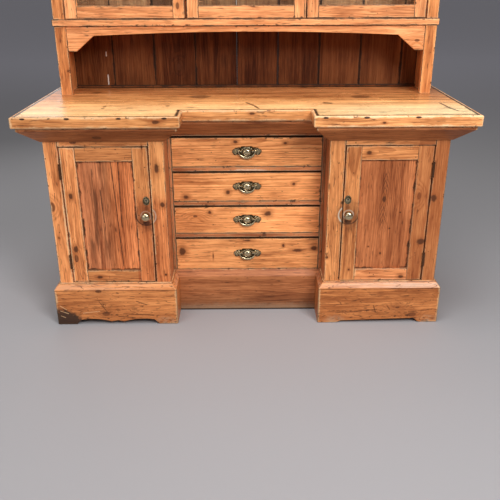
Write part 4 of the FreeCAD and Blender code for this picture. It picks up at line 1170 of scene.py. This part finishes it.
class DRESSER_OT_cupboard_ironwork(PieceOperator, bpy.types.Operator):
    """Butt hinges, locks, bolts, escutcheons and knobs of the cupboards"""
    bl_idname = "dresser.cupboard_ironwork"
    bl_label = "Cupboard Ironwork"

    def execute(self, context):
        for node in ("cupboard_hinges", "left_door_hinge_leaves", "right_door_hinge_leaves"):
            fitting(node, "iron", HINGE_RELIEF)
        for side in SIDES:
            fitting(side + "_door_bolt", "iron", BOLT_RELIEF)
            self.lock(side + "_door_lock")
            self.knob(side + "_door_knob")
        return {"FINISHED"}

    def lock(self, node):
        """Lock case behind the stile and a domed oval escutcheon in front."""
        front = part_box(node)[0].y + ESCUTCHEON_DEPTH
        case = joined_copy(node, node + "_case")
        drop_boards(case, lambda low, high: high[1] < front)
        round_arrises(case, LOCK_CASE_ARRIS, SHORTEST_METAL_EDGE)
        points = places_of(frame["nodes"][node].data)
        points = points[points[:, 1] < front]
        (x0, _, z0), (x1, y, z1) = points.min(0), points.max(0)
        x, z = (x0 + x1) / 2, (z0 + z1) / 2
        shape = scaled(ESCUTCHEON_EDGE, (x1 - x0) / 2)
        plate = turned("plate", (x, y, z), shape, tall=(z1 - z0) / (x1 - x0))
        eye = turned("eye", (x, y - EYE_REACH, z + EYE_UP), KEYHOLE_EYE)
        piece = join([case, plate], node + "_brass")
        clear_selection()
        bpy.ops.mesh.primitive_cube_add(size=1, location=(x, y - SLOT_REACH, z - SLOT_DOWN),
                                        scale=KEYHOLE_SLOT)
        hole = join([eye, apply_place(bpy.context.object)], node + "_keyhole")
        lay_relief(hole, KEYHOLE_RELIEF)
        lay_relief(piece, ESCUTCHEON_RELIEF, y)
        hole.data.materials.append(finish_of("iron"))
        brass_over(piece, node)
        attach(hole, frame["nodes"][node]["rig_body"])

    def knob(self, node):
        """Domed knob on a rose, with its spindle and latch behind the door."""
        low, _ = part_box(node)
        latch = joined_copy(node, node + "_latch")
        with editing(latch):
            bpy.ops.mesh.bisect(plane_co=(0, DOOR_FACE - LATCH_REACH, 0), plane_no=(0, -1, 0),
                                use_fill=True, clear_outer=True)
        smooth(latch)
        r = metal().knob_radius
        centre = (math.copysign(KNOB_X, low.x), DOOR_FACE - ROSE_REACH, KNOB_Z)
        reach = centre[1] - low.y
        head = turned(node + "_head", centre, scaled(KNOB_ROSE, r) + scaled(KNOB_HEAD, r, reach), 56)
        piece = join([head, latch], node + "_brass")
        lay_relief(piece, reach, DOOR_FACE)
        brass_over(piece, node)


class DRESSER_OT_drawers(PieceOperator, bpy.types.Operator):
    """Drawers with waxed fronts and bare dovetailed sides"""
    bl_idname = "dresser.drawers"
    bl_label = "Drawers"

    def execute(self, context):
        for drawer in DRAWERS:
            mesh = dress(drawer, "front").data
            mesh.materials.append(finish_of("raw"))
            front = points_of_boards(mesh, lambda low, high: high[1] - low[1] < DRAWER_FRONT_THICKEST
                                     and low[1] < DRAWER_FRONT_Y)
            for face in mesh.polygons:
                face.material_index = 0 if front[face.vertices[0]] else 1
        return {"FINISHED"}


class DRESSER_OT_drawer_handles(PieceOperator, bpy.types.Operator):
    """Cast brass back plates and hanging bails"""
    bl_idname = "dresser.drawer_handles"
    bl_label = "Drawer Handles"

    def execute(self, context):
        models = (("_plate", self.plate("drawer_1_plate")), ("_bail", self.bail("drawer_1_bail")))
        for drawer in DRAWERS:
            move = middle(drawer + "_plate") - middle("drawer_1_plate")
            for kind, model in models:
                node = drawer + kind
                piece = model if drawer == "drawer_1" else copy_moved(model, node + "_brass", move)
                brass_over(piece, node)
        return {"FINISHED"}

    def plate(self, node):
        """Overlapping cast lobes with sunk middles, a crowned boss and two pillars for the bail."""
        w, y, z = metal().plate_width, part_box(node)[1].y, middle("drawer_1").z
        parts = []
        for across, up, size, tall in LOBES:
            for x in sorted({across * w, -across * w}):
                parts.append(turned("lobe", (x, y, z + up * w), scaled(LOBE, size * w, tall), 28))
        parts.append(turned("boss", (0, y, z), BOSS, 48, tall=BOSS_TALL))
        for x in (-PILLAR_ACROSS * w, PILLAR_ACROSS * w):
            parts.append(turned("pillar", (x, y, z + PILLAR_UP * w), PILLAR, 24))
        # Leaf scrolls curl out of the plate at each end, and beads stand along its top
        for side in (-1, 1):
            for across, up, size in SCROLLS:
                centre = (side * across * w, y, z + up * w)
                parts.append(turned("scroll", centre, scaled(SCROLL, size * w), 24))
        for across in BEADS:
            rise = BEAD_TOP - BEAD_ARCH * across * across
            parts.append(turned("bead", (across * w, y, z + rise * w), BEAD, 16))
        piece = join(parts, node + "_brass")
        lay_relief(piece, PLATE_RELIEF)
        return piece

    def bail(self, node):
        """Crescent handle, thin at its pins and full in the middle."""
        low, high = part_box(node)
        y, top = (low.y + high.y) / 2, high.z - BAIL_MARGIN
        reach, drop = (high.x - low.x) / 2 - BAIL_MARGIN, metal().bail_drop - BAIL_BELLY
        spot, turn, thick = Vector((-reach, y, top)), 0.0, BAIL_THIN
        clear_selection()
        bpy.ops.mesh.primitive_circle_add(vertices=16, radius=thick, fill_type="NGON", location=spot)
        crescent = apply_place(bpy.context.object)
        with editing(crescent):
            for bend in range(1, BAIL_BENDS + 1):
                angle = math.pi * bend / BAIL_BENDS
                here = Vector((-reach * math.cos(angle), y, top - drop * math.sin(angle)))
                slope = math.atan2(reach * math.sin(angle), drop * math.cos(angle))
                full = BAIL_THIN + BAIL_SWELL * math.sin(angle) ** 2
                bpy.ops.mesh.extrude_region_move(TRANSFORM_OT_translate={"value": here - spot})
                bpy.ops.transform.rotate(value=slope - turn, orient_axis="Y", center_override=here)
                bpy.ops.transform.resize(value=(full / thick,) * 3, center_override=here)
                spot, turn, thick = here, slope, full
            bpy.ops.mesh.select_all(action="SELECT")
            bpy.ops.transform.resize(value=(1, BAIL_FLATNESS, 1), center_override=(0, y, top))
            bpy.ops.mesh.normals_make_consistent(inside=False)
        smooth(crescent)
        parts = [crescent]
        for side in (-1, 1):
            clear_selection()
            bpy.ops.mesh.primitive_cylinder_add(vertices=20, radius=PIN_RADIUS, depth=PIN_LENGTH,
                                                location=(side * (reach - PIN_INSET), y, top),
                                                rotation=(0, math.pi / 2, 0))
            parts.append(apply_place(bpy.context.object))
            parts.append(turned("knuckle", (side * reach, y + KNUCKLE_BACK, top), KNUCKLE, 24))
        piece = join(parts, node + "_brass")
        lay_relief(piece, math.inf, lift=BAIL_RUB)
        return piece


class DRESSER_OT_worktop(PieceOperator, bpy.types.Operator):
    """Worktop planks, their edging and the moulding beneath"""
    bl_idname = "dresser.worktop"
    bl_label = "Worktop"

    def execute(self, context):
        dress("worktop_planks", "top", arris=PLANK_ARRIS)
        dress("worktop_lipping", "lipping", arris=LIPPING_ARRIS)
        dress("bed_moulding", "moulding")
        return {"FINISHED"}


class DRESSER_OT_rack(PieceOperator, bpy.types.Operator):
    """Posts, apron, ledge and back boards of the open rack"""
    bl_idname = "dresser.rack"
    bl_label = "Plate Rack"

    def execute(self, context):
        for node, finish in (("upper_sides", "waxed"), ("upper_face_frame", "waxed"),
                             ("ledge_moulding", "pale"), ("rack_apron", "pale")):
            dress(node, finish, arris=FRAME_ARRIS)
        boards = dress("upper_back_boards", "dark", arris=BACK_BOARD_ARRIS).data
        boards.materials.append(finish_of("raw"))
        for face in boards.polygons:
            face.material_index = int(face.normal.y > 0.5)
        return {"FINISHED"}


class DRESSER_OT_cabinet(PieceOperator, bpy.types.Operator):
    """Shelves, muntins and cornice of the glazed cabinet"""
    bl_idname = "dresser.cabinet"
    bl_label = "Cabinet"

    def execute(self, context):
        for node in ("cabinet_muntins", "cornice", "cabinet_floor_and_top", "cabinet_shelves"):
            dress(node, "waxed")
        return {"FINISHED"}


class DRESSER_OT_glazed_doors(PieceOperator, bpy.types.Operator):
    """Glazed doors with their glass, hinges and small knobs"""
    bl_idname = "dresser.glazed_doors"
    bl_label = "Glazed Doors"

    def execute(self, context):
        fitting("glazed_hinges", "brass", HINGE_RELIEF)
        for side in ("left", "middle", "right"):
            dress(side + "_glazed_frame", "pale", arris=GLAZED_ARRIS)
            pane = frame["nodes"][side + "_glass"]
            pane.data.materials.clear()
            pane.data.materials.append(finish_of("glass"))
            self.brasses(side + "_glazed_brasses")
        return {"FINISHED"}

    def brasses(self, node):
        """Hinge leaves with a smooth turned knob."""
        leaves = joined_copy(node, node + "_leaves")
        solids = [(low, high) for _, low, high in each_board(leaves.data)]
        low, high = min(solids, key=lambda corners: corners[0][1])
        drop_boards(leaves, lambda lowest, _: abs(lowest[1] - low[1]) < 1e-6)
        round_arrises(leaves, METAL_ARRIS, SHORTEST_METAL_EDGE)
        r, reach = (high[0] - low[0]) / 2, high[1] - low[1]
        centre = ((low[0] + high[0]) / 2, high[1], (low[2] + high[2]) / 2)
        knob = turned(node + "_knob", centre, scaled(SMALL_KNOB, r, reach), 44)
        piece = join([leaves, knob], node + "_brass")
        lay_relief(piece, reach, centre[1], SMALL_KNOB_RUB)
        brass_over(piece, node)


# Place, aim, size, the property that sets the power and the share of it
LAMPS = {"key_light": ((1.5, -2.9, 2.9), (0, 0, 0.65), 1.3, "key", 1.0),
         "top_light": ((-0.6, -1.2, 4.2), (0, 0, 0.8), 2.4, "fill", 4.0),
         "left_fill": ((-2.6, -3.2, 1.8), (0, 0, 0.6), 2.4, "fill", 1.0),
         "back_fill": ((-0.8, 2.6, 2.0), (0, 0.3, 1.1), 2.0, "fill", 0.7)}
FLOOR_SIZE, FAR_FLOOR_STARTS, FAR_FLOOR_FULL, FILM_WIDTH = 90, 2.0, 9.0, 36.0


class DRESSER_OT_stage(bpy.types.Operator):
    """Pale floor, soft light and the camera"""
    bl_idname = "dresser.stage"
    bl_label = "Stage"

    def execute(self, context):
        scene, stage = context.scene, context.scene.dresser_stage
        self.floor(stage)
        self.world(scene, stage)
        for name, (place, aim, size, power, share) in LAMPS.items():
            lamp = bpy.data.lights.new(name, "AREA")
            lamp.size = size
            lamp.energy = getattr(stage, power) * share
            light = bpy.data.objects.new(name, lamp)
            light.location = place
            light.rotation_euler = (Vector(aim) - Vector(place)).to_track_quat("-Z", "Y").to_euler()
            scene.collection.objects.link(light)
        self.camera(scene, stage)
        scene.view_settings.view_transform = "Standard"
        return {"FINISHED"}

    def floor(self, stage):
        clear_selection()
        bpy.ops.mesh.primitive_plane_add(size=FLOOR_SIZE)
        floor = bpy.context.object
        floor.name = "floor"
        with editing(floor):
            bpy.ops.mesh.subdivide(number_cuts=8)
        material, sk, shader, _ = new_material("pale_floor")
        cloud = sk.times(sk.noise(sk.place(), 0.8), 0.12)
        colour = sk.mix(cloud, stage.floor, [c * 0.86 for c in stage.floor[:3]] + [1])
        far = sk.step(sk.split(sk.place())[1], FAR_FLOOR_STARTS, FAR_FLOOR_FULL)
        sk.feed_all(shader, Base_Color=sk.mix(far, colour, stage.far_floor), Roughness=0.7)
        floor.data.materials.append(material)

    def world(self, scene, stage):
        scene.world = bpy.data.worlds.new("soft_light")
        scene.world.use_nodes = True
        scene.world.node_tree.nodes.clear()
        sk = Sketch(scene.world.node_tree)
        seen = sk.feed_all(sk.node("ShaderNodeBackground"), Color=stage.backdrop)
        ambient = sk.feed_all(sk.node("ShaderNodeBackground"), Color=(1, 1, 1, 1), Strength=stage.ambient)
        path = sk.node("ShaderNodeLightPath").outputs
        shown = sk.math("MAXIMUM", path["Is Camera Ray"],
                        sk.math("MAXIMUM", path["Is Glossy Ray"], path["Is Transmission Ray"]))
        sk.blend(shown, ambient, seen, sk.node("ShaderNodeOutputWorld"))

    def camera(self, scene, stage):
        lens = bpy.data.cameras.new("camera")
        lens.lens = stage.lens
        lens.sensor_width = FILM_WIDTH
        eye = bpy.data.objects.new("camera", lens)
        level = Vector((math.cos(stage.yaw), -math.sin(stage.yaw), 0))
        flat = math.cos(stage.pitch)
        ahead = Vector((math.sin(stage.yaw) * flat, math.cos(stage.yaw) * flat, -math.sin(stage.pitch)))
        rise = level.cross(ahead)
        right = level * math.cos(stage.roll) + rise * math.sin(stage.roll)
        up = rise * math.cos(stage.roll) - level * math.sin(stage.roll)
        turn = Matrix((right, up, -ahead)).transposed()
        eye.matrix_world = Matrix.Translation(stage.eye) @ turn.to_4x4()
        scene.collection.objects.link(eye)
        scene.camera = eye


steps = (DRESSER_OT_plinths, DRESSER_OT_base_carcass, DRESSER_OT_face_frames, DRESSER_OT_cupboard_doors,
         DRESSER_OT_cupboard_ironwork, DRESSER_OT_drawers, DRESSER_OT_drawer_handles, DRESSER_OT_worktop,
         DRESSER_OT_rack, DRESSER_OT_cabinet, DRESSER_OT_glazed_doors, DRESSER_OT_stage)


class DRESSER_PT_sidebar(bpy.types.Panel):
    """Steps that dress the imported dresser, in order"""
    bl_idname = "DRESSER_PT_sidebar"
    bl_label = "Kitchen Dresser"
    bl_space_type = "VIEW_3D"
    bl_region_type = "UI"
    bl_category = "Dresser"

    def draw(self, context):
        for step in steps:
            self.layout.operator(step.bl_idname)
        for place, kind in groups.items():
            for name in kind.__annotations__:
                self.layout.prop(getattr(context.scene, place), name)


groups = {"dresser_timber": DresserTimber, "dresser_metal": DresserMetal, "dresser_stage": DresserStage}
classes = tuple(groups.values()) + steps + (DRESSER_PT_sidebar,)


def register():
    for kind in classes:
        bpy.utils.register_class(kind)
    for place, kind in groups.items():
        setattr(bpy.types.Scene, place, PointerProperty(type=kind))


def unregister():
    for place in groups:
        delattr(bpy.types.Scene, place)
    for kind in reversed(classes):
        bpy.utils.unregister_class(kind)


def main():
    register()
    for step in steps:
        group, name = step.bl_idname.split(".")
        getattr(getattr(bpy.ops, group), name)()


if __name__ == "__main__":
    main()
